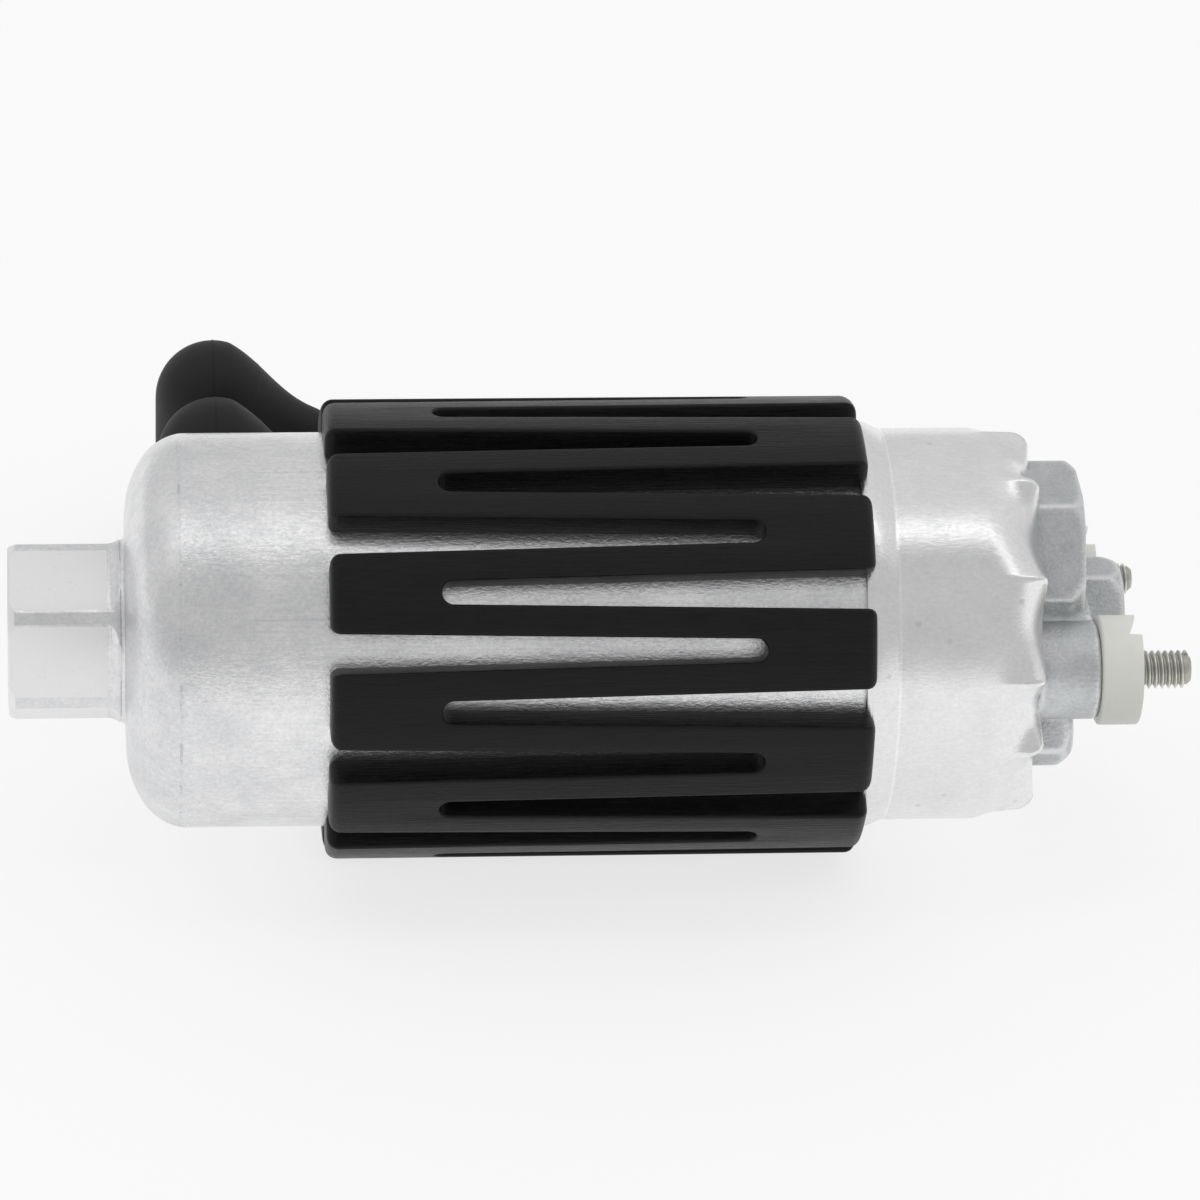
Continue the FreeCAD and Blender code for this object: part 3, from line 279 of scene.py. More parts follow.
# pump_place tells where a spot is: millimetres in space, along the axis and out from it, and degrees down
# the side
pump_place, given, result = effect("pump_place", [], [("Place", "Vector"), ("Along", "Float"),
                                                      ("Out", "Float"), ("Turn", "Float")])
place = add(pump_place, "VectorMath", {0: add(pump_place, "TexCoord").outputs["Object"], "Scale": 1 / MM},
            operation="SCALE").outputs[0]
spot = add(pump_place, "SeparateXYZ", {0: place}).outputs
down = sum_of(pump_place, "MULTIPLY", spot[2], -1.0)
front = sum_of(pump_place, "MULTIPLY", spot[1], -1.0)
turn = sum_of(pump_place, "DEGREES", sum_of(pump_place, "ARCTAN2", down, front))
flat = add(pump_place, "CombineXYZ", {1: spot[1], 2: spot[2]})
out = add(pump_place, "VectorMath", {0: flat.outputs[0]}, operation="LENGTH").outputs["Value"]
give(pump_place, result, place=place, along=spot[0], out=out, turn=turn)

# drawn_skin is how drawn or rolled metal looks: hair lines along the pull, cloudy patches, and fine pits
drawn_skin, given, result = effect("drawn_skin", [("Place", "Vector", None), ("Pull", "Vector", (0.04, 1, 1)),
                                                  ("Hair", "Float", 0.5), ("Clouds", "Float", 0.5),
                                                  ("Pits", "Float", 0.2)],
                                   [("Shade", "Float"), ("Height", "Float")])
pulled = add(drawn_skin, "VectorMath", {0: given["Place"], 1: given["Pull"]}, operation="MULTIPLY").outputs[0]
hair = noise(drawn_skin, pulled, 2.6, 4.0, 0.7)
clouds = noise(drawn_skin, given["Place"], 0.14, 4.0, 0.6)
pits = noise(drawn_skin, given["Place"], 1.5, 4.0, 0.75)
shade = 0.5
for layer, weight in ((hair, "Hair"), (clouds, "Clouds"), (pits, "Pits")):
    part = sum_of(drawn_skin, "MULTIPLY", sum_of(drawn_skin, "SUBTRACT", layer, 0.5), given[weight])
    shade = sum_of(drawn_skin, "ADD", part, shade)
height = sum_of(drawn_skin, "ADD", sum_of(drawn_skin, "MULTIPLY", hair, given["Hair"]),
                sum_of(drawn_skin, "MULTIPLY", pits, given["Pits"]))
give(drawn_skin, result, shade=shade, height=height)

# band is 1 where a value lies at a middle, and fades to 0 at a width away from it
band, given, result = effect("band", [("Value", "Float", 0.0), ("Middle", "Float", 0.0),
                                      ("Width", "Float", 1.0)], [("Mask", "Float")])
away = sum_of(band, "ABSOLUTE", sum_of(band, "SUBTRACT", given["Value"], given["Middle"]))
inside = add(band, "MapRange", {"Value": away, "From Min": given["Width"], "From Max": 0.0},
             interpolation_type="SMOOTHSTEP").outputs[0]
give(band, result, mask=inside)


def deselect():
    """Leave edit mode's and object mode's selection empty."""
    if bpy.context.object and bpy.context.object.mode != "OBJECT":
        bpy.ops.object.mode_set(mode="OBJECT")
    bpy.ops.object.select_all(action="DESELECT")


def pick(piece):
    """Select one piece alone and make it the active one."""
    deselect()
    piece.select_set(True)
    bpy.context.view_layer.objects.active = piece


def edit_all():
    """Go into edit mode with everything selected."""
    bpy.ops.object.mode_set(mode="EDIT")
    bpy.ops.mesh.select_all(action="SELECT")


def face_outwards():
    """Turn the faces of the mesh in edit mode outwards, and leave edit mode."""
    bpy.ops.mesh.select_all(action="SELECT")
    bpy.ops.mesh.normals_make_consistent(inside=False)
    bpy.ops.object.mode_set(mode="OBJECT")


def block(name, size, middle):
    """A plain block, given by its size and its middle in millimetres."""
    deselect()
    bpy.ops.mesh.primitive_cube_add(size=1, location=[part * MM for part in middle])
    made = bpy.context.object
    made.name = name
    made.scale = [part * MM for part in size]
    bpy.ops.object.transform_apply()
    return made


def swung(arm, angle):
    """An arm in a profile's plane, turned by an angle about its foot."""
    return Vector((arm.x * math.cos(angle) - arm.y * math.sin(angle),
                   arm.x * math.sin(angle) + arm.y * math.cos(angle)))


def rounded(corners, steps):
    """The stations of a profile whose corners (x, radius, rounding) are rounded off in small steps."""
    stations = []
    for number, corner in enumerate(corners):
        spot = Vector(corner[:2])
        rounding = corner[2] if len(corner) > 2 else 0
        if not rounding:
            stations.append(spot)
            continue
        back = (Vector(corners[number - 1][:2]) - spot).normalized()
        forth = (Vector(corners[(number + 1) % len(corners)][:2]) - spot).normalized()
        opening = back.angle(forth)
        reach = rounding / math.tan(opening / 2)
        middle = spot + (back + forth).normalized() * (rounding / math.sin(opening / 2))
        start, end = spot + back * reach - middle, spot + forth * reach - middle
        sweep = start.angle_signed(end)
        stations += [middle + swung(start, -sweep * step / steps) for step in range(steps + 1)]
    return stations


def draw_out(stations):
    """Draw the outline selected in edit mode out along X through (x, radius) stations, from the first one."""
    for last, station in zip(stations, stations[1:]):
        travel = ((station[0] - last[0]) * MM, 0, 0)
        bpy.ops.mesh.extrude_region_move(TRANSFORM_OT_translate={"value": travel})
        ratio = station[1] / last[1]
        bpy.ops.transform.resize(value=(1, ratio, ratio), center_override=(station[0] * MM, 0, 0))


def spun(name, stations, sides):
    """Spin a profile of (x, radius) stations about the pump's axis: a circle is drawn out ring by ring."""
    deselect()
    first = stations[0]
    bpy.ops.mesh.primitive_circle_add(vertices=sides, radius=first[1] * MM, location=(first[0] * MM, 0, 0),
                                      rotation=(0, math.pi / 2, 0))
    piece = bpy.context.object
    piece.name = name
    bpy.ops.object.transform_apply()
    edit_all()
    draw_out(stations + [first])
    bpy.ops.mesh.select_all(action="SELECT")
    bpy.ops.mesh.remove_doubles(threshold=1e-6)
    face_outwards()
    return piece


def apply_all(piece):
    """Apply every modifier of a piece."""
    pick(piece)
    for modifier in list(piece.modifiers):
        bpy.ops.object.modifier_apply(modifier=modifier.name)
    return piece


def combine(piece, other, way):
    """Unite, cut or intersect a piece with another mesh, which is used up."""
    step = piece.modifiers.new(way.lower(), "BOOLEAN")
    step.operation = way
    step.solver = "EXACT"
    step.object = other
    apply_all(piece)
    bpy.data.objects.remove(other)


def smooth_edges(piece, degrees=32.0):
    """Shade the faces smooth, except over sharp edges."""
    pick(piece)
    bpy.ops.object.shade_smooth_by_angle(angle=math.radians(degrees))


def join_to(piece, other):
    """Make another mesh part of a piece, which keeps its name."""
    pick(piece)
    other.select_set(True)
    bpy.ops.object.join()


def helix_ridge(name, root, crest, pitch, start, turns, at=(0.0, 0.0), steps=40):
    """A screw thread's ridge: a V-shaped section carried round and along by a screw modifier, ends closed."""
    deselect()
    bpy.ops.mesh.primitive_circle_add(vertices=4, radius=pitch / 2 * MM, fill_type="NGON",
                                      rotation=(math.pi / 2, 0, 0))
    ridge = bpy.context.object
    ridge.name = name
    bpy.ops.object.transform_apply()
    outline = [(-0.46, root), (-0.08, crest), (0.08, crest), (0.46, root)]
    for vertex, (along, radius) in zip(ridge.data.vertices, outline):
        vertex.co = Vector((start + along * pitch, 0, radius)) * MM
    screw = ridge.modifiers.new("thread", "SCREW")
    screw.axis = "X"
    screw.iterations = 1
    screw.angle = math.tau * turns
    screw.steps = int(steps * turns)
    screw.render_steps = screw.steps
    screw.screw_offset = pitch * turns * MM
    screw.use_merge_vertices = False
    apply_all(ridge)
    edit_all()
    bpy.ops.mesh.remove_doubles(threshold=1e-7)
    bpy.ops.mesh.select_all(action="DESELECT")
    bpy.ops.mesh.select_mode(type="EDGE")
    bpy.ops.mesh.select_non_manifold()
    bpy.ops.mesh.edge_face_add()
    face_outwards()
    ridge.data.transform(Matrix.Translation((0, at[0] * MM, at[1] * MM)))
    return ridge


def arc(start, end, radius, side, steps):
    """Stations on the arc from start to end, bulging left of the way (side 1) or right of it (side -1)."""
    start, end = Vector(start), Vector(end)
    chord = end - start
    left = Vector((-chord.y, chord.x)).normalized()
    middle = (start + end) / 2 - left * side * math.sqrt(max(radius ** 2 - (chord.length / 2) ** 2, 0))
    arm = start - middle
    sweep = arm.angle_signed(end - middle)
    return [middle + swung(arm, -sweep * step / steps) for step in range(steps + 1)]


def hexagonal(name, apothem, land, stations, roll):
    """A hexagonal bar with narrow lands for corners, drawn out along X through (x, apothem) stations.

    One of its flats faces the roll's angle.
    """
    deselect()
    bpy.ops.mesh.primitive_circle_add(vertices=12, radius=apothem * MM, fill_type="NGON",
                                      rotation=(0, math.pi / 2, 0))
    bar = bpy.context.object
    bar.name = name
    bpy.ops.object.transform_apply()
    reach = apothem / math.cos(math.pi / 6) - land / 2 / math.tan(math.pi / 3)
    start_x, start_apothem = stations[0]
    for number, vertex in enumerate(bar.data.vertices):
        corner = math.radians(roll + 30) + math.pi / 3 * (number // 2)
        side = land / 2 * (1 if number % 2 else -1)
        down, aside = reach * start_apothem / apothem, side * start_apothem / apothem
        vertex.co = Vector((start_x, -(down * math.cos(corner) - aside * math.sin(corner)),
                            -(down * math.sin(corner) + aside * math.cos(corner)))) * MM
    edit_all()
    draw_out(stations)
    face_outwards()
    return bar


def soften(piece, width, degrees=30.0):
    """Round the sharp edges of a piece with a narrow bevel."""
    step = piece.modifiers.new("soft_edges", "BEVEL")
    step.width = width * MM
    step.segments = 2
    step.limit_method = "ANGLE"
    step.angle_limit = math.radians(degrees)
    step.use_clamp_overlap = True
    apply_all(piece)


on_axis = 0.01
cove = [(flat_end + cove_radius * math.sin(turn), boss_apothem + cove_radius * (1 - math.cos(turn)))
        for turn in (math.radians(degrees) for degrees in range(0, cove_turn + 1, 10))]
boss_stations = [(0, boss_apothem - mouth_edge), (mouth_edge, boss_apothem)]
boss_stations += cove + [(nose_start, cove[-1][1])]
boss = hexagonal("boss", boss_apothem, corner_land, boss_stations, boss_roll)
blank_start, face_radius = -1, 12.3
chamfer_radius, chamfer_length = 12.95, 1.25
neck_start = cove_end + 0.12
neck_radius = corner_radius - 0.14
blank_outline = [(blank_start, on_axis), (blank_start, face_radius), (0, chamfer_radius),
                 (chamfer_length, corner_radius), (cove_end, corner_radius), (neck_start, neck_radius),
                 (nose_start, neck_radius), (nose_start, on_axis)]
combine(boss, spun("turned_blank", blank_outline, 96), "INTERSECT")
soften(boss, 0.12)
nose_bore = 9.5
lip_start, lip_end, lip_drop = cove_end + 0.15, cove_end + 0.18, 0.1
fillet_start = nose_start - nose_fillet
dome_foot, dome_crown, dome_top = (17.75, 17.2), (20.0, 25.6), (26.3, can_radius)
foot_bulge, crown_bulge = 15.5, 8.6
barrel_rings = (60, 100)
tail_edge = 0.3
lining_radius = can_radius - wall
lining_top, lining_crown, lining_floor = 29.3, (23.3, 25.5), 21.0
barrel_outline = [(lip_start, nose_bore), (lip_start, corner_radius - lip_drop), (lip_end, corner_radius)]
barrel_outline += arc((fillet_start, corner_radius), (nose_start, corner_radius + nose_fillet), nose_fillet,
                      -1, 8)
barrel_outline += arc(dome_foot, dome_crown, foot_bulge, 1, 14)
barrel_outline += arc(dome_crown, dome_top, crown_bulge, 1, 20)[1:]
barrel_outline += [(ring, can_radius) for ring in barrel_rings]
barrel_outline += [(tail - tail_edge, can_radius), (tail, can_radius - tail_edge), (tail, lining_radius)]
barrel_outline += arc((lining_top, lining_radius), lining_crown, crown_bulge, -1, 10)
barrel_outline += [(lining_floor, nose_bore)]
inlet_can = spun("inlet_can_body", barrel_outline, 192)
combine(inlet_can, boss, "UNION")
thread_mouth, mouth_depth = 9.9, 0.8
thread_bore, thread_end = 9.05, 11.8
runout_radius, runout_end = 7.9, 13.0
passage_radius, passage_end = 6.6, 22
bore_outline = [(-1, on_axis), (-1, thread_mouth), (0, thread_mouth), (mouth_depth, thread_bore),
                (thread_end, thread_bore), (thread_end, runout_radius), (runout_end, runout_radius),
                (runout_end, passage_radius), (passage_end, passage_radius), (passage_end, on_axis)]
combine(inlet_can, spun("bore", bore_outline, 96), "DIFFERENCE")
join_to(inlet_can, helix_ridge("inlet_thread", root=9.2, crest=8.2, pitch=1.5, start=0.9, turns=7.0))
dome_join = 25.7
worn_edge = 36.6
draw_lines = ((-82.0, -0.3), (-69.5, 0.25), (-33.0, -0.4), (40.0, -0.25), (118.0, -0.3), (-150.0, -0.3))
can_skin, tree, shader = new_finish("drawn_can_aluminium", 1.0)
here = use(tree, pump_place)
skin = use(tree, drawn_skin, place=here["Place"], pull=(0.22, 1, 1), hair=0.6, clouds=1.0, pits=1.25)
lines = use(tree, drawn_skin, place=here["Place"], pull=(0.03, 1, 1), hair=0.8, clouds=0.0, pits=0.0)
coarse = noise(tree, here["Place"], 0.22, 3.0, 0.7)
wander = sum_of(tree, "MULTIPLY_ADD", sum_of(tree, "SUBTRACT", coarse, 0.5), 5.0, here["Along"])
worn = share_of(tree, wander, worn_edge - 1.0, worn_edge + 1.0)
long_marks = sum_of(tree, "MULTIPLY", sum_of(tree, "SUBTRACT", lines["Shade"], 0.5), worn)
shade = sum_of(tree, "ADD", sum_of(tree, "MULTIPLY_ADD", worn, 0.10, skin["Shade"]), long_marks)
broken = sum_of(tree, "GREATER_THAN", coarse, 0.57)
join_line = use(tree, band, value=here["Along"], middle=dome_join, width=0.3)["Mask"]
shade = sum_of(tree, "MULTIPLY_ADD", sum_of(tree, "MULTIPLY", join_line, broken), -1.8, shade)
shade = sum_of(tree, "MULTIPLY_ADD", join_line, -0.12, shade)
for degrees, strength in draw_lines:
    draw_line = use(tree, band, value=here["Turn"], middle=degrees, width=0.5)["Mask"]
    draw_line = sum_of(tree, "MULTIPLY", draw_line, worn)
    shade = sum_of(tree, "MULTIPLY_ADD", draw_line, strength, shade)
on_boss = sum_of(tree, "LESS_THAN", here["Along"], flat_end + 0.1)
on_flats = sum_of(tree, "MULTIPLY", on_boss, sum_of(tree, "LESS_THAN", here["Out"], boss_apothem + 1.25))
dome = share_of(tree, here["Along"], 27.0, 25.0)
calm = sum_of(tree, "MULTIPLY_ADD", dome, -0.6, 1.0)
shade = sum_of(tree, "MULTIPLY_ADD", on_flats, 0.65, shade)
rough = between(tree, shade, 0.27, 0.13)
rough = sum_of(tree, "MULTIPLY_ADD", on_flats, 0.30, rough)
rough = sum_of(tree, "MULTIPLY_ADD", dome, 0.13, rough)
surface(tree, shader, between(tree, shade, (0.62, 0.625, 0.64), (0.92, 0.92, 0.925)), rough,
        sum_of(tree, "MULTIPLY", skin["Height"], calm), 0.06)
smooth_edges(inlet_can)
paint(inlet_can, can_skin)
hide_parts("inlet_can")
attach(inlet_can, "pump_body")

# The damping sleeve is moulded rubber, slotted from both ends in turn so that it stretches over the can. One
# twelfth of it, with one slot from the inlet side and half of one at each edge, is modelled flat, copied and
# rolled round.
sleeve_radius = 35.0
sleeve_bore = 30.03
sleeve_start, sleeve_end = 47.7, 129.0
slot_mouth, slot_tip = 6.2, 3.6
slot_margin = 16.5
end_round = 1.9
slot_round = 0.45
finger_round = 1.3
first_slot = 6.0
slots = 12
tile = math.tau * sleeve_radius / slots
flat_depth = 5.0
cutter_floor, cutter_depth = -2.0, 10.0
slot_overrun = 2
strip = block("damping_sleeve_rubber", (sleeve_end - sleeve_start, tile, flat_depth),
              ((sleeve_start + sleeve_end) / 2, 0, flat_depth / 2))
for side, mouth, tip in ((0, sleeve_start, sleeve_end - slot_margin),
                         (-1, sleeve_end, sleeve_start + slot_margin),
                         (1, sleeve_end, sleeve_start + slot_margin)):
    deselect()
    bpy.ops.mesh.primitive_circle_add(vertices=40, radius=slot_tip / 2 * MM, fill_type="NGON",
                                      location=(0, side * tile / 2 * MM, cutter_floor * MM))
    cutter = bpy.context.object
    bpy.ops.object.transform_apply()
    way = 1 if mouth < tip else -1
    for vertex in cutter.data.vertices:
        across = vertex.co.y - side * tile / 2 * MM
        if vertex.co.x * way < -1e-6:
            vertex.co.x = (mouth - way * slot_overrun) * MM
            vertex.co.y = side * tile / 2 * MM + (slot_mouth / 2 * MM if across > 0 else -slot_mouth / 2 * MM)
        else:
            vertex.co.x += (tip - way * slot_tip / 2) * MM
    edit_all()
    bpy.ops.mesh.remove_doubles(threshold=1e-6)
    bpy.ops.mesh.extrude_region_move(TRANSFORM_OT_translate={"value": (0, 0, cutter_depth * MM)})
    face_outwards()
    combine(strip, cutter, "DIFFERENCE")


def pick_edges(piece, chosen):
    """In edit mode, select the edges that the test picks."""
    mesh = bmesh.from_edit_mesh(piece.data)
    for edge in mesh.edges:
        edge.select = chosen(edge)
    bmesh.update_edit_mesh(piece.data)


def at_seam(part):
    """Whether an edge or a face lies on the side of the tile, where the next tile joins it."""
    return all(abs(abs(vertex.co.y) - tile / 2 * MM) < 1e-5 for vertex in part.verts)


def at_mouth_corner(edge):
    """Whether an edge stands upright at the tile's end, beside the mouth of a slot."""
    one, other = (vertex.co for vertex in edge.verts)
    upright = abs(one.z - other.z) > 0.8 * flat_depth * MM
    at_end = min(abs(one.x - sleeve_start * MM), abs(one.x - sleeve_end * MM)) < 1e-5
    return upright and at_end and not at_seam(edge)


def on_rim(edge):
    """Whether an edge runs round the top of a finger."""
    top = all(vertex.co.z > (flat_depth - 0.01) * MM for vertex in edge.verts)
    return top and not at_seam(edge) and len(edge.link_faces) == 2 and edge.calc_face_angle(0) > 1.0


pick(strip)
bpy.ops.object.mode_set(mode="EDIT")
bpy.ops.mesh.select_mode(type="EDGE")
bpy.ops.mesh.select_all(action="SELECT")
bpy.ops.mesh.dissolve_limited(angle_limit=0.001)
pick_edges(strip, at_mouth_corner)
bpy.ops.mesh.bevel(offset=finger_round * MM, segments=4, affect="EDGES", clamp_overlap=False)
pick_edges(strip, on_rim)
bpy.ops.mesh.bevel(offset=slot_round * MM, segments=3, affect="EDGES", clamp_overlap=False)
facets = 16
end_cuts = (0.08, 0.3, 0.65, 1.1, 1.6, 1.9)
for cut in range(1 - facets // 2, facets // 2):
    bpy.ops.mesh.select_all(action="SELECT")
    bpy.ops.mesh.bisect(plane_co=(0, cut * tile / facets * MM, 0), plane_no=(0, 1, 0))
for end, way in ((sleeve_start, 1), (sleeve_end, -1)):
    for inset in end_cuts:
        bpy.ops.mesh.select_all(action="SELECT")
        bpy.ops.mesh.bisect(plane_co=((end + way * inset) * MM, 0, 0), plane_no=(1, 0, 0))
bpy.ops.object.mode_set(mode="OBJECT")
lowered_from, lowered_over = 2.0, 2.5
shape = bmesh.new()
shape.from_mesh(strip.data)
bmesh.ops.delete(shape, geom=[face for face in shape.faces if at_seam(face)], context="FACES")
for vertex in shape.verts:
    inset = min(vertex.co.x / MM - sleeve_start, sleeve_end - vertex.co.x / MM)
    lowered = end_round - math.sqrt(max(end_round ** 2 - max(end_round - inset, 0) ** 2, 0))
    vertex.co.z -= lowered * MM * max(0.0, min(1.0, (vertex.co.z / MM - lowered_from) / lowered_over))
shape.to_mesh(strip.data)
shape.free()
tiles = [strip]
for number in range(1, slots):
    copy = strip.copy()
    copy.data = strip.data.copy()
    bpy.context.scene.collection.objects.link(copy)
    tiles.append(copy)
for number, copy in enumerate(tiles):
    for vertex in copy.data.vertices:
        turn = math.radians(first_slot) + math.tau / slots * number + vertex.co.y / (sleeve_radius * MM)
        reach = sleeve_bore * MM + vertex.co.z * (sleeve_radius - sleeve_bore) / flat_depth
        vertex.co = Vector((vertex.co.x, -reach * math.cos(turn), -reach * math.sin(turn)))
pick(strip)
for copy in tiles:
    copy.select_set(True)
bpy.ops.object.join()
edit_all()
bpy.ops.mesh.remove_doubles(threshold=2e-6)
face_outwards()
sleeve_skin, tree, shader = new_finish("sleeve_rubber_black")
here = use(tree, pump_place)
skin = use(tree, drawn_skin, place=here["Place"], pull=(0.07, 1.0, 1.0), hair=1.6, clouds=0.5, pits=0.5)
dust = add(tree, "TexVoronoi", {"Vector": here["Place"], "Scale": 0.55}).outputs["Distance"]
specks = share_of(tree, dust, 0.07, 0.04)
shade = sum_of(tree, "MULTIPLY_ADD", specks, 0.5, skin["Shade"])
surface(tree, shader, between(tree, shade, (0.001, 0.001, 0.001), (0.009, 0.009, 0.0095)),
        between(tree, skin["Shade"], 0.27, 0.48), skin["Height"], 0.07)
shader.inputs["Specular IOR Level"].default_value = 0.24
smooth_edges(strip, 40)
paint(strip, sleeve_skin)
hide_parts("damping_sleeve")
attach(strip, "pump_body")

# The outlet shell is an aluminium cup without a floor: its mouth is flared over the can in a bead, and its
# rim is rolled over the end cap and dented twelve times with a punch, which leaves pinched lobes between the
# dents.
joint_start = 127.6
shell_bore = 30.06
mouth_radius = 30.9
bead_radius = 31.38
rim_start = 147.1
roll_depth, roll_drop = 7.6, 4.9
roll_radius = (roll_depth ** 2 + roll_drop ** 2) / (2 * roll_drop)
roll_centre = can_radius - roll_radius
roll_sweep = math.asin(roll_depth / roll_radius)
dents = 12
dent_depth = 1.45
dent_spread = 0.4
lobe_straight = 5.7
lobe_bend = 2.8
lobe_turn = math.radians(80)
edge_thinning = 0.45
lobe_shifts = (0, 0, 4, 5, -1, -1, 0, 1, -2, 0, 2, -1)
lobe_middles = [-107.0 + 360 / dents * number + shift for number, shift in enumerate(lobe_shifts)]


def rolled(radius, steps):
    """Stations on the rolled rim, at this distance from the centre that it is rolled about."""
    return [(rim_start + radius * math.sin(roll_sweep * step / steps),
             roll_centre + radius * math.cos(roll_sweep * step / steps)) for step in range(steps + 1)]


def from_mouth(along, radius):
    """A station at this distance from the shell's mouth."""
    return joint_start + along, radius


outer_roll = rolled(roll_radius, 26)
inner_roll = rolled(roll_radius - wall, 12)
rim_edge = [tuple(Vector(outer_roll[-1]).lerp(Vector(inner_roll[-1]), share)) for share in (0.25, 0.75)]
outer_roll[-1] = tuple(Vector(outer_roll[-1]).lerp(Vector(outer_roll[-2]), 0.45))
shell_rings = (136, 140, 144)
step_start, step_end, step_back = 130.4, 132.1, 140
shell_outline = [from_mouth(0, shell_bore), from_mouth(0, mouth_radius)]
shell_outline += arc(from_mouth(0.12, 31.15), from_mouth(0.9, bead_radius), 0.9, 1, 4)
shell_outline += arc(from_mouth(1.0, bead_radius), from_mouth(2.3, 31.25), 3.5, 1, 4)
shell_outline += [from_mouth(3.4, 30.82), from_mouth(4.5, 30.3)]
shell_outline += arc(from_mouth(4.7, 30.2), from_mouth(5.4, can_radius), 1.2, -1, 4)
shell_outline += [(ring, can_radius) for ring in shell_rings] + outer_roll + rim_edge + inner_roll[::-1]
shell_outline += [(step_back, lining_radius), (step_end, lining_radius), (step_start, shell_bore)]
roll_length = roll_radius * roll_sweep


def lobe_weight(degrees):
    """How much a place round the rim is lobe: 1 on a lobe's crest, 0 in the middle of a dent."""
    for middle, following in zip(lobe_middles, lobe_middles[1:] + lobe_middles[:1]):
        past, span = (degrees - middle) % 360, (following - middle) % 360
        if past <= span:
            return (2 * past / span - 1) ** 2


def dent_spot(travel, deep):
    """A spot in a dent: this far along the roll, pushed in deeper and deeper towards the edge."""
    turn = travel / roll_radius
    arm = roll_radius - deep
    push = dent_depth * (max(travel, 0.0) / roll_length) ** 0.75
    spread = dent_spread * (max(travel, 0.0) / roll_length) ** 3
    return Vector((rim_start + arm * math.sin(turn) + spread, roll_centre + arm * math.cos(turn) - push))


def lobe_spot(travel, deep):
    """A spot on a lobe's crest, where the wall runs on straight, then turns in tightly to a thinner edge."""
    deep *= 1 - edge_thinning * max(0.0, travel / roll_length * 2 - 1)
    turn = min(max(travel - lobe_straight, 0.0) / lobe_bend, lobe_turn)
    past = max(travel - lobe_straight - lobe_bend * lobe_turn, 0.0)
    arm = lobe_bend - deep
    return Vector((rim_start + min(travel, lobe_straight) + arm * math.sin(turn) + past * math.cos(turn),
                   can_radius - lobe_bend + arm * math.cos(turn) - past * math.sin(turn)))


shell = spun("outlet_shell_crimped", shell_outline, 432)
for vertex in shell.data.vertices:
    x, y, z = vertex.co / MM
    if x < rim_start + 0.2:
        continue
    radius = math.hypot(y, z)
    turn = math.atan2(x - rim_start, radius - roll_centre)
    travel = turn * roll_radius
    deep = roll_radius - math.hypot(x - rim_start, radius - roll_centre)
    lobe = lobe_weight(math.degrees(math.atan2(-z, -y)))
    along, reach = dent_spot(travel, deep).lerp(lobe_spot(travel, deep), lobe)
    vertex.co = Vector((along, y / radius * reach, z / radius * reach)) * MM
step = shell.modifiers.new("settle", "SMOOTH")
step.factor = 0.5
step.iterations = 1
smooth_edges(apply_all(shell), 50)
shell_skin, tree, shader = new_finish("drawn_shell_aluminium", 1.0)
here = use(tree, pump_place)
skin = use(tree, drawn_skin, place=here["Place"], pull=(0.22, 1, 1), hair=0.55, clouds=0.5, pits=0.7)
knocks = add(tree, "TexVoronoi", {"Vector": here["Place"], "Scale": 0.16}).outputs["Distance"]
dings = share_of(tree, knocks, 0.10, 0.04)
# A thin line at the foot of the bead is lightened: a painted highlight in the crease.
bead_highlight = use(tree, band, value=here["Along"], middle=joint_start + 5.3, width=0.35)["Mask"]
shade = sum_of(tree, "MULTIPLY_ADD", dings, -0.45, skin["Shade"])
shade = sum_of(tree, "MULTIPLY_ADD", bead_highlight, 0.3, shade)
pressed = share_of(tree, here["Along"], rim_start - 0.5, rim_start + 1.5)
shade = sum_of(tree, "MULTIPLY_ADD", pressed, 0.06, shade)
surface(tree, shader, between(tree, shade, (0.69, 0.69, 0.70), (0.97, 0.97, 0.975)),
        between(tree, shade, 0.28, 0.14), sum_of(tree, "MULTIPLY_ADD", dings, -0.5, skin["Height"]), 0.04)
paint(shell, shell_skin)
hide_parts("outlet_shell")
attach(shell, "pump_body")

# The end cap is a grey aluminium die casting with blasted skin and soft corners: a plate with the outlet boss
# in the middle, a large and a small hexagonal boss and two round bosses for the terminals, all joined by a
# web.
def copied(node, name):
    """A piece of its own with the shape of one of the frame's nodes, its loose triangles joined up."""
    piece = frame["nodes"][node].copy()
    piece.data = piece.data.copy()
    piece.name = name
    piece.parent = None
    for key in list(piece.keys()):
        del piece[key]
    bpy.context.scene.collection.objects.link(piece)
    piece.data.materials.clear()
    pick(piece)
    edit_all()
    bpy.ops.mesh.remove_doubles(threshold=1e-6)
    bpy.ops.object.mode_set(mode="OBJECT")
    return piece


def cast(piece, voxel_size, rounds):
    """Run a piece together into one skin whose corners are soft, as a mould leaves them."""
    voxel = piece.modifiers.new("cast", "REMESH")
    voxel.mode = "VOXEL"
    voxel.voxel_size = voxel_size * MM
    settle = piece.modifiers.new("settle", "SMOOTH")
    settle.factor = 0.5
    settle.iterations = rounds
    apply_all(piece)


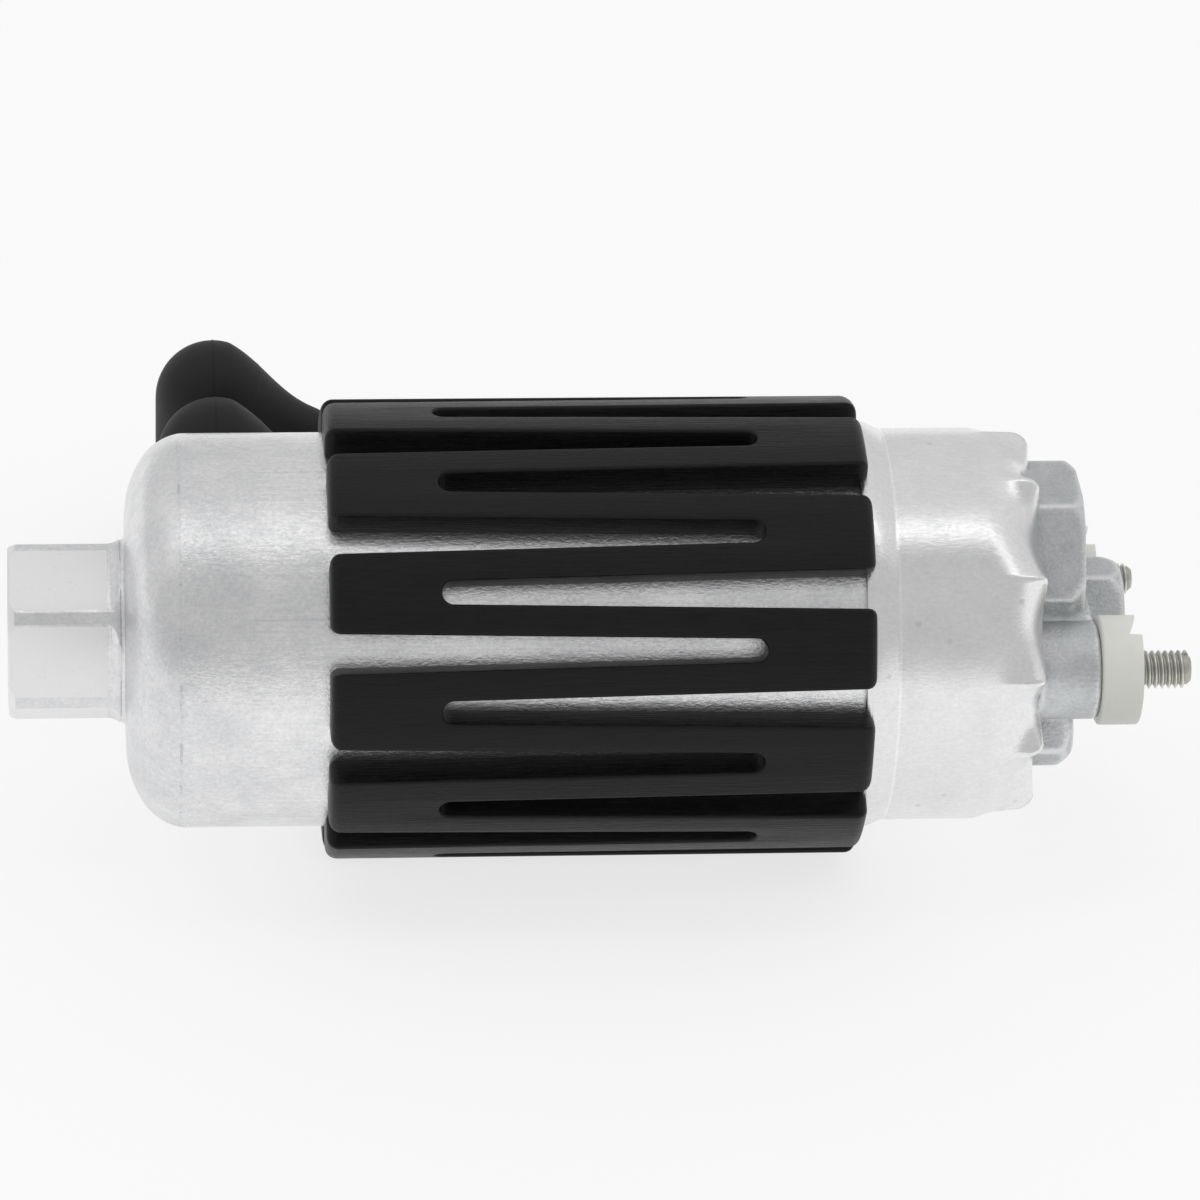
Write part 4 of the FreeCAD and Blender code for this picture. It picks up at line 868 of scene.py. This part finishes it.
cap = copied("end_cap", "end_cap_casting")
corner_start, corner_side, corner_height = 160.4, -14.43, 12.0
chamfer_run, chamfer_rise = 2.2, 1.55
slant = Vector((chamfer_run, chamfer_rise)).normalized()
wedge_back, wedge_reach, wedge_out = -1.0, 4.2, 2.0
wedge_up, wedge_down = 3.0, -2.75
wedge = block("wedge", (1, 1, 1), (0, 0, 0))
for vertex in wedge.data.vertices:
    on = wedge_reach if vertex.co.x > 0 else wedge_back
    off = wedge_out if vertex.co.y < 0 else 0.0
    height = wedge_up if vertex.co.z > 0 else wedge_down
    vertex.co = Vector((corner_start + slant.x * on + slant.y * off,
                        corner_side + slant.y * on - slant.x * off, corner_height + height)) * MM
combine(cap, wedge, "DIFFERENCE")
trim_size, trim_middle = (1.9, 7.6, 2.5), (163.55, -10.8, 10.65)
combine(cap, block("trim", trim_size, trim_middle), "DIFFERENCE")
cast(cap, voxel_size=0.42, rounds=5)
for face in cap.data.polygons:
    face.use_smooth = True


def mark_edges(piece, name, full=0.9):
    """Write how sharply the surface bulges at each vertex: the share of painted highlight on the edges."""
    shape = bmesh.new()
    shape.from_mesh(piece.data)
    bulges = [max(0.0, min(1.0, sum(edge.calc_face_angle_signed(0.0) for edge in vertex.link_edges) / full))
              for vertex in shape.verts]
    shape.free()
    marks = piece.data.attributes.new(name, "FLOAT", "POINT")
    for vertex, bulge in zip(marks.data, bulges):
        vertex.value = bulge


mark_edges(cap, "edge_highlight_share")
cap_skin, tree, shader = new_finish("blasted_casting", 1.0)
here = use(tree, pump_place)
blast = noise(tree, here["Place"], 2.4, 4.0, 0.75)
patches = noise(tree, here["Place"], 0.2)
cells = add(tree, "TexVoronoi", {"Vector": here["Place"], "Scale": 1.8}).outputs["Distance"]
shade = sum_of(tree, "MULTIPLY_ADD", sum_of(tree, "SUBTRACT", patches, 0.5), 0.7, blast)
# The casting is lightened where its surface bulges: a painted highlight along its edges.
painted_highlight = add(tree, "Attribute", attribute_name="edge_highlight_share").outputs["Fac"]
shade = sum_of(tree, "MULTIPLY_ADD", painted_highlight, 0.9, shade)
height = sum_of(tree, "MULTIPLY_ADD", cells, 0.6, blast)
surface(tree, shader, between(tree, shade, (0.38, 0.395, 0.40), (0.74, 0.755, 0.765)),
        between(tree, shade, 0.58, 0.38), height, 0.08)
paint(cap, cap_skin)
join_to(cap, helix_ridge("outlet_thread", root=5.35, crest=4.75, pitch=1.5, start=159.5, turns=6.5))
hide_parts("end_cap")
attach(cap, "pump_body")

# Each terminal is a natural nylon bush moulded round a threaded stud. The collar stands proud of the boss and
# has a flat under a leaning wall, which keeps a ring terminal from turning. The front stud is thicker than
# the rear one.
nylon_skin, tree, shader = new_finish("natural_nylon")
here = use(tree, pump_place)
milk = noise(tree, here["Place"], 0.5)
grain = noise(tree, here["Place"], 3.0)
surface(tree, shader, between(tree, milk, (0.90, 0.91, 0.83), (0.95, 0.96, 0.90)),
        between(tree, grain, 0.30, 0.46), grain, 0.012)
shader.inputs["Subsurface Weight"].default_value = 0.25
shader.inputs["Subsurface Radius"].default_value = (1.0, 0.9, 0.6)
shader.inputs["Subsurface Scale"].default_value = 1.2 * MM


def stud_skin(side, at, minor, major):
    """Plated steel, darker in the thread's grooves and lighter on its crests."""
    finish, tree, shader = new_finish("stud_steel_" + side, 1.0)
    here = use(tree, pump_place)
    centred = add(tree, "Mapping", {"Vector": here["Place"], "Location": (0, -at[0], -at[1])}).outputs[0]
    spot = add(tree, "SeparateXYZ", {0: centred}).outputs
    flat = add(tree, "CombineXYZ", {1: spot[1], 2: spot[2]})
    out = add(tree, "VectorMath", {0: flat.outputs[0]}, operation="LENGTH").outputs["Value"]
    crest = share_of(tree, out, minor, major)
    stain = noise(tree, here["Place"], 1.6, 4.0, 0.7)
    shade = sum_of(tree, "MULTIPLY_ADD", crest, 0.55, sum_of(tree, "MULTIPLY", stain, 0.5))
    surface(tree, shader, between(tree, shade, (0.38, 0.375, 0.34), (0.84, 0.84, 0.79)),
            between(tree, shade, 0.52, 0.28), stain, 0.02)
    return finish


stud_reach = 18.0
collar_length = 6.25
collar_radius = 8.3
collar_flat = 5.36
notch_floor, notch_brow = 2.05, 0.45
notch_reach, notch_past, notch_turn = 12.0, 3.0, 60
shank_start, shank_radius = 139.3, 4.6
head_start, head_end, head_radius = 137.7, 139.25, 4.5
tip_chamfer = 0.5
for side, degrees, boss_end, major, pitch, tip in (("front", -6.3, 164.1, 2.9, 1.0, 178.45),
                                                   ("rear", 171.5, 162.1, 2.4, 0.8, 174.7)):
    angle = math.radians(degrees)
    at = (-stud_reach * math.cos(angle), -stud_reach * math.sin(angle))
    to_stud = Matrix.Translation((0, at[0] * MM, at[1] * MM))
    start, end = boss_end + 0.02, boss_end + collar_length
    bush_bore = major - 0.43
    bush = spun("terminal_bush_" + side + "_nylon", rounded(
        [(shank_start, bush_bore), (shank_start, shank_radius), (start, shank_radius),
         (start, collar_radius, 0.5), (end, collar_radius, 0.45), (end, bush_bore)], 3), 96)
    bush.data.transform(to_stud)
    notch = block("notch", (1, 1, 1), (0, 0, 0))
    lean = (notch_floor - notch_brow) / (collar_radius - collar_flat)
    for vertex in notch.data.vertices:
        reach = notch_reach if vertex.co.y > 0 else collar_flat
        back = -notch_floor + lean * (reach - collar_flat)
        vertex.co = Vector((end + (notch_past if vertex.co.x > 0 else back), reach,
                            notch_reach if vertex.co.z > 0 else -notch_reach)) * MM
    notch.data.transform(to_stud @ Matrix.Rotation(math.radians(notch_turn), 4, "X"))
    combine(bush, notch, "DIFFERENCE")
    soften(bush, 0.22, 40)
    smooth_edges(bush, 35)
    paint(bush, nylon_skin)
    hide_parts("terminal_bush_" + side)
    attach(bush, "pump_body")
    minor = major - 0.6 * pitch
    stem = major - 0.47
    rod = spun("terminal_stud_" + side + "_threaded", [
        (head_start, on_axis), (head_start, head_radius), (head_end, head_radius), (head_end, stem),
        (end - 0.1, stem), (end, minor), (tip - tip_chamfer, minor), (tip, minor - 0.45), (tip, on_axis)], 64)
    rod.data.transform(to_stud)
    turns = (tip - 0.75 - end) / pitch - 0.4
    join_to(rod, helix_ridge("ridge", minor - 0.12, major, pitch, end + 0.45 * pitch, turns, at, 36))
    smooth_edges(rod, 35)
    paint(rod, stud_skin(side, at, minor, major))
    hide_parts("terminal_stud_" + side)
    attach(rod, "pump_body")

# The terminal covers are two soft black rubber elbows, taken off the studs and stood on their mouths behind
# the pump. Each is one moulding: a round hood that runs down in a soft shoulder to a narrow neck for the
# wire.
cover_radius = 9.4
cover_x = 33.3
shoulder_length = 17.5
shoulder_fall = 8.6
shoulder_taper = 0.241
dome_end = 4.62
waist_radius = 5.15
waist_start, waist_length = 2.6, 18.4
seam_half = 0.22
seam_height = 0.10
cover_skin, tree, shader = new_finish("cover_rubber_black")
here = use(tree, pump_place)
bloom = noise(tree, here["Place"], 0.25, 4.0, 0.6)
grain = noise(tree, here["Place"], 4.0, 3.0, 0.6)
seam = use(tree, band, value=here["Along"], middle=cover_x, width=0.35)["Mask"]
shade = sum_of(tree, "MULTIPLY_ADD", seam, -0.45, bloom)
surface(tree, shader, between(tree, shade, (0.004, 0.004, 0.004), (0.017, 0.017, 0.0175)),
        between(tree, bloom, 0.50, 0.68), grain, 0.03)
shader.inputs["Specular IOR Level"].default_value = 0.32


def drawn_in(spot):
    """A spot of the cover, from its dome's centre, with the shoulder drawn in to one smooth hollow curve."""
    axis = Vector((shoulder_length, 0, -shoulder_fall)).normalized()
    along = spot.dot(axis)
    out = spot - axis * along
    if not -waist_start < along < waist_length or out.length < 0.01:
        return spot
    had = cover_radius - 0.1 - shoulder_taper * along
    if along < dome_end:
        had = math.sqrt(cover_radius ** 2 - along ** 2)
    share = min((along + waist_start) / waist_length, 1.0)
    wanted = waist_radius + (cover_radius - waist_radius) * (1 + math.cos(math.pi * share)) / 2
    upward = out.dot(Vector((shoulder_fall, 0, shoulder_length)).normalized()) / out.length
    weight = min(max((upward + 0.1) / 0.6, 0.0), 1.0)
    return axis * along + out * (1 + (min(wanted / had, 1.0) - 1) * weight * weight * (3 - 2 * weight))


for side, across in (("near", 70.8), ("far", 90.4)):
    cover = copied("terminal_cover_" + side, "terminal_cover_" + side + "_rubber")
    cast(cover, voxel_size=0.36, rounds=14)
    bpy.ops.object.mode_set(mode="EDIT")
    bpy.ops.mesh.select_mode(type="VERT")
    for shift in (-2, -1, 0, 1, 2):
        bpy.ops.mesh.select_all(action="SELECT")
        bpy.ops.mesh.bisect(plane_co=((cover_x + shift * seam_half) * MM, 0, 0), plane_no=(1, 0, 0))
    bpy.ops.object.mode_set(mode="OBJECT")
    hood = Vector((cover_x, across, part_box("terminal_cover_" + side)[1][2] / MM - cover_radius))
    for vertex in cover.data.vertices:
        vertex.co = drawn_in(vertex.co / MM - hood) * MM + hood * MM
    for vertex in cover.data.vertices:
        if abs(vertex.co.x / MM - cover_x) < seam_half / 2:
            vertex.co += vertex.normal * seam_height * MM
    for face in cover.data.polygons:
        face.use_smooth = True
    paint(cover, cover_skin)
    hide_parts("terminal_cover_" + side)
    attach(cover, "pump_body")

# Inside the can lie the pump cell, the motor, the brush gear and the outlet's check valve. They keep their
# own shapes, and each gets the finish of what it is made of: ground and sintered steel, ferrite, copper,
# carbon or nylon.
def worked(name, dark, light, rough, smooth, metallic=1.0, pull=(1.0, 1.0, 1.0), depth=0.01):
    """A finish with grain, patches and fine pits, from dark and rough to light and smooth."""
    finish, tree, shader = new_finish(name, metallic)
    skin = use(tree, drawn_skin, place=use(tree, pump_place)["Place"], pull=pull, hair=0.6, clouds=0.4,
               pits=0.3)
    surface(tree, shader, between(tree, skin["Shade"], dark, light),
            between(tree, skin["Shade"], rough, smooth), skin["Height"], depth)
    return finish


def striped(name, dark, light, step, metallic, rough):
    """A finish with fine rings along the axis, such as stacked laminations or turns of wire."""
    finish, tree, shader = new_finish(name, metallic)
    here = use(tree, pump_place)
    wave = sum_of(tree, "SINE", sum_of(tree, "MULTIPLY", here["Along"], math.tau / step))
    lines = sum_of(tree, "MULTIPLY_ADD", wave, 0.35, 0.5)
    stain = noise(tree, here["Place"], 1.2)
    shade = sum_of(tree, "MULTIPLY_ADD", sum_of(tree, "SUBTRACT", stain, 0.5), 0.6, lines)
    surface(tree, shader, between(tree, shade, dark, light), between(tree, shade, rough + 0.15, rough), lines,
            0.05)
    return finish


def dress(finish, *names):
    """Give pieces of the frame a finish."""
    for name in names:
        for slot in frame["nodes"][name].material_slots:
            slot.material = finish


along_axis = (0.06, 1.0, 1.0)
across_axis = (1.0, 0.25, 0.25)
dress(worked("strainer_brass", (0.42, 0.30, 0.12), (0.80, 0.62, 0.30), 0.45, 0.25), "inlet_strainer",
      "check_valve_seat")
dress(worked("seal_rubber", (0.010, 0.010, 0.011), (0.030, 0.030, 0.031), 0.6, 0.45, metallic=0.0),
      "end_cap_seal")
dress(worked("ground_plate_steel", (0.34, 0.34, 0.35), (0.62, 0.62, 0.63), 0.40, 0.20, pull=across_axis),
      "inlet_plate", "chamber_ring", "outlet_plate")
dress(worked("sintered_steel", (0.22, 0.22, 0.23), (0.46, 0.46, 0.47), 0.55, 0.35, depth=0.04),
      "inner_rotor", "outer_rotor")
dress(worked("ball_steel", (0.58, 0.58, 0.59), (0.78, 0.78, 0.79), 0.14, 0.06), "relief_ball")
spring_steel = worked("spring_steel", (0.28, 0.27, 0.26), (0.60, 0.59, 0.57), 0.40, 0.22)
dress(spring_steel, "magnet_clip_front", "magnet_clip_rear")
dress(worked("zinc_plated_tube", (0.48, 0.48, 0.46), (0.74, 0.74, 0.72), 0.42, 0.24, pull=along_axis),
      "flux_tube")
dress(worked("ferrite", (0.020, 0.019, 0.019), (0.055, 0.053, 0.052), 0.75, 0.50, metallic=0.0, depth=0.04),
      "magnet_upper", "magnet_lower")
dress(worked("ground_shaft_steel", (0.50, 0.50, 0.51), (0.76, 0.76, 0.77), 0.26, 0.12, pull=across_axis),
      "armature_shaft")
dress(striped("stacked_laminations", (0.12, 0.12, 0.125), (0.46, 0.46, 0.47), 0.5, 1.0, 0.35),
      "armature_core")
dress(striped("enamelled_copper_wire", (0.24, 0.06, 0.02), (0.78, 0.32, 0.14), 0.6, 0.9, 0.25),
      "armature_windings")
dress(worked("moulded_phenolic", (0.030, 0.016, 0.010), (0.075, 0.040, 0.022), 0.55, 0.38, metallic=0.0),
      "commutator_hub")
dress(worked("turned_copper", (0.55, 0.25, 0.13), (0.86, 0.47, 0.30), 0.34, 0.18, pull=across_axis),
      "commutator_bars")
dress(worked("sintered_bronze", (0.30, 0.17, 0.07), (0.60, 0.40, 0.20), 0.60, 0.40, depth=0.04),
      "pump_end_bush", "brush_end_bush")
dress(worked("holder_nylon", (0.022, 0.022, 0.024), (0.050, 0.050, 0.052), 0.55, 0.38, metallic=0.0),
      "brush_holder")
dress(worked("carbon", (0.018, 0.018, 0.019), (0.060, 0.060, 0.062), 0.65, 0.35, metallic=0.3, depth=0.03),
      "carbon_brush_front", "carbon_brush_rear")
dress(striped("braided_copper_lead", (0.30, 0.12, 0.05), (0.86, 0.46, 0.26), 0.35, 1.0, 0.30),
      "brush_lead_front", "brush_lead_rear")
dress(worked("poppet_acetal", (0.58, 0.57, 0.53), (0.76, 0.75, 0.71), 0.45, 0.30, metallic=0.0),
      "check_valve_poppet")

# Four wire springs press the check poppet, the relief ball and the two brushes home. Each is wound of hard
# steel wire and sits with one end against the body.
joint_ranges = {joint["name"]: joint["range_m"] for joint in frame["record"]["behaviour"]["joints"]
                if "range_m" in joint}
for node, joint, axis, way in (("check_valve_spring", "check_valve_lift", (1, 0, 0), 1),
                               ("relief_spring", "relief_valve_lift", (1, 0, 0), -1),
                               ("brush_spring_front", "brush_front_slide", (0, 1, 0), -1),
                               ("brush_spring_rear", "brush_rear_slide", (0, 1, 0), 1)):
    spring = copied(node, node + "_wire")
    travel = joint_ranges[joint][1]
    smooth_edges(spring, 50)
    paint(spring, spring_steel)
    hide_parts(node)
    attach(spring, "pump_body")
    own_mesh(spring)
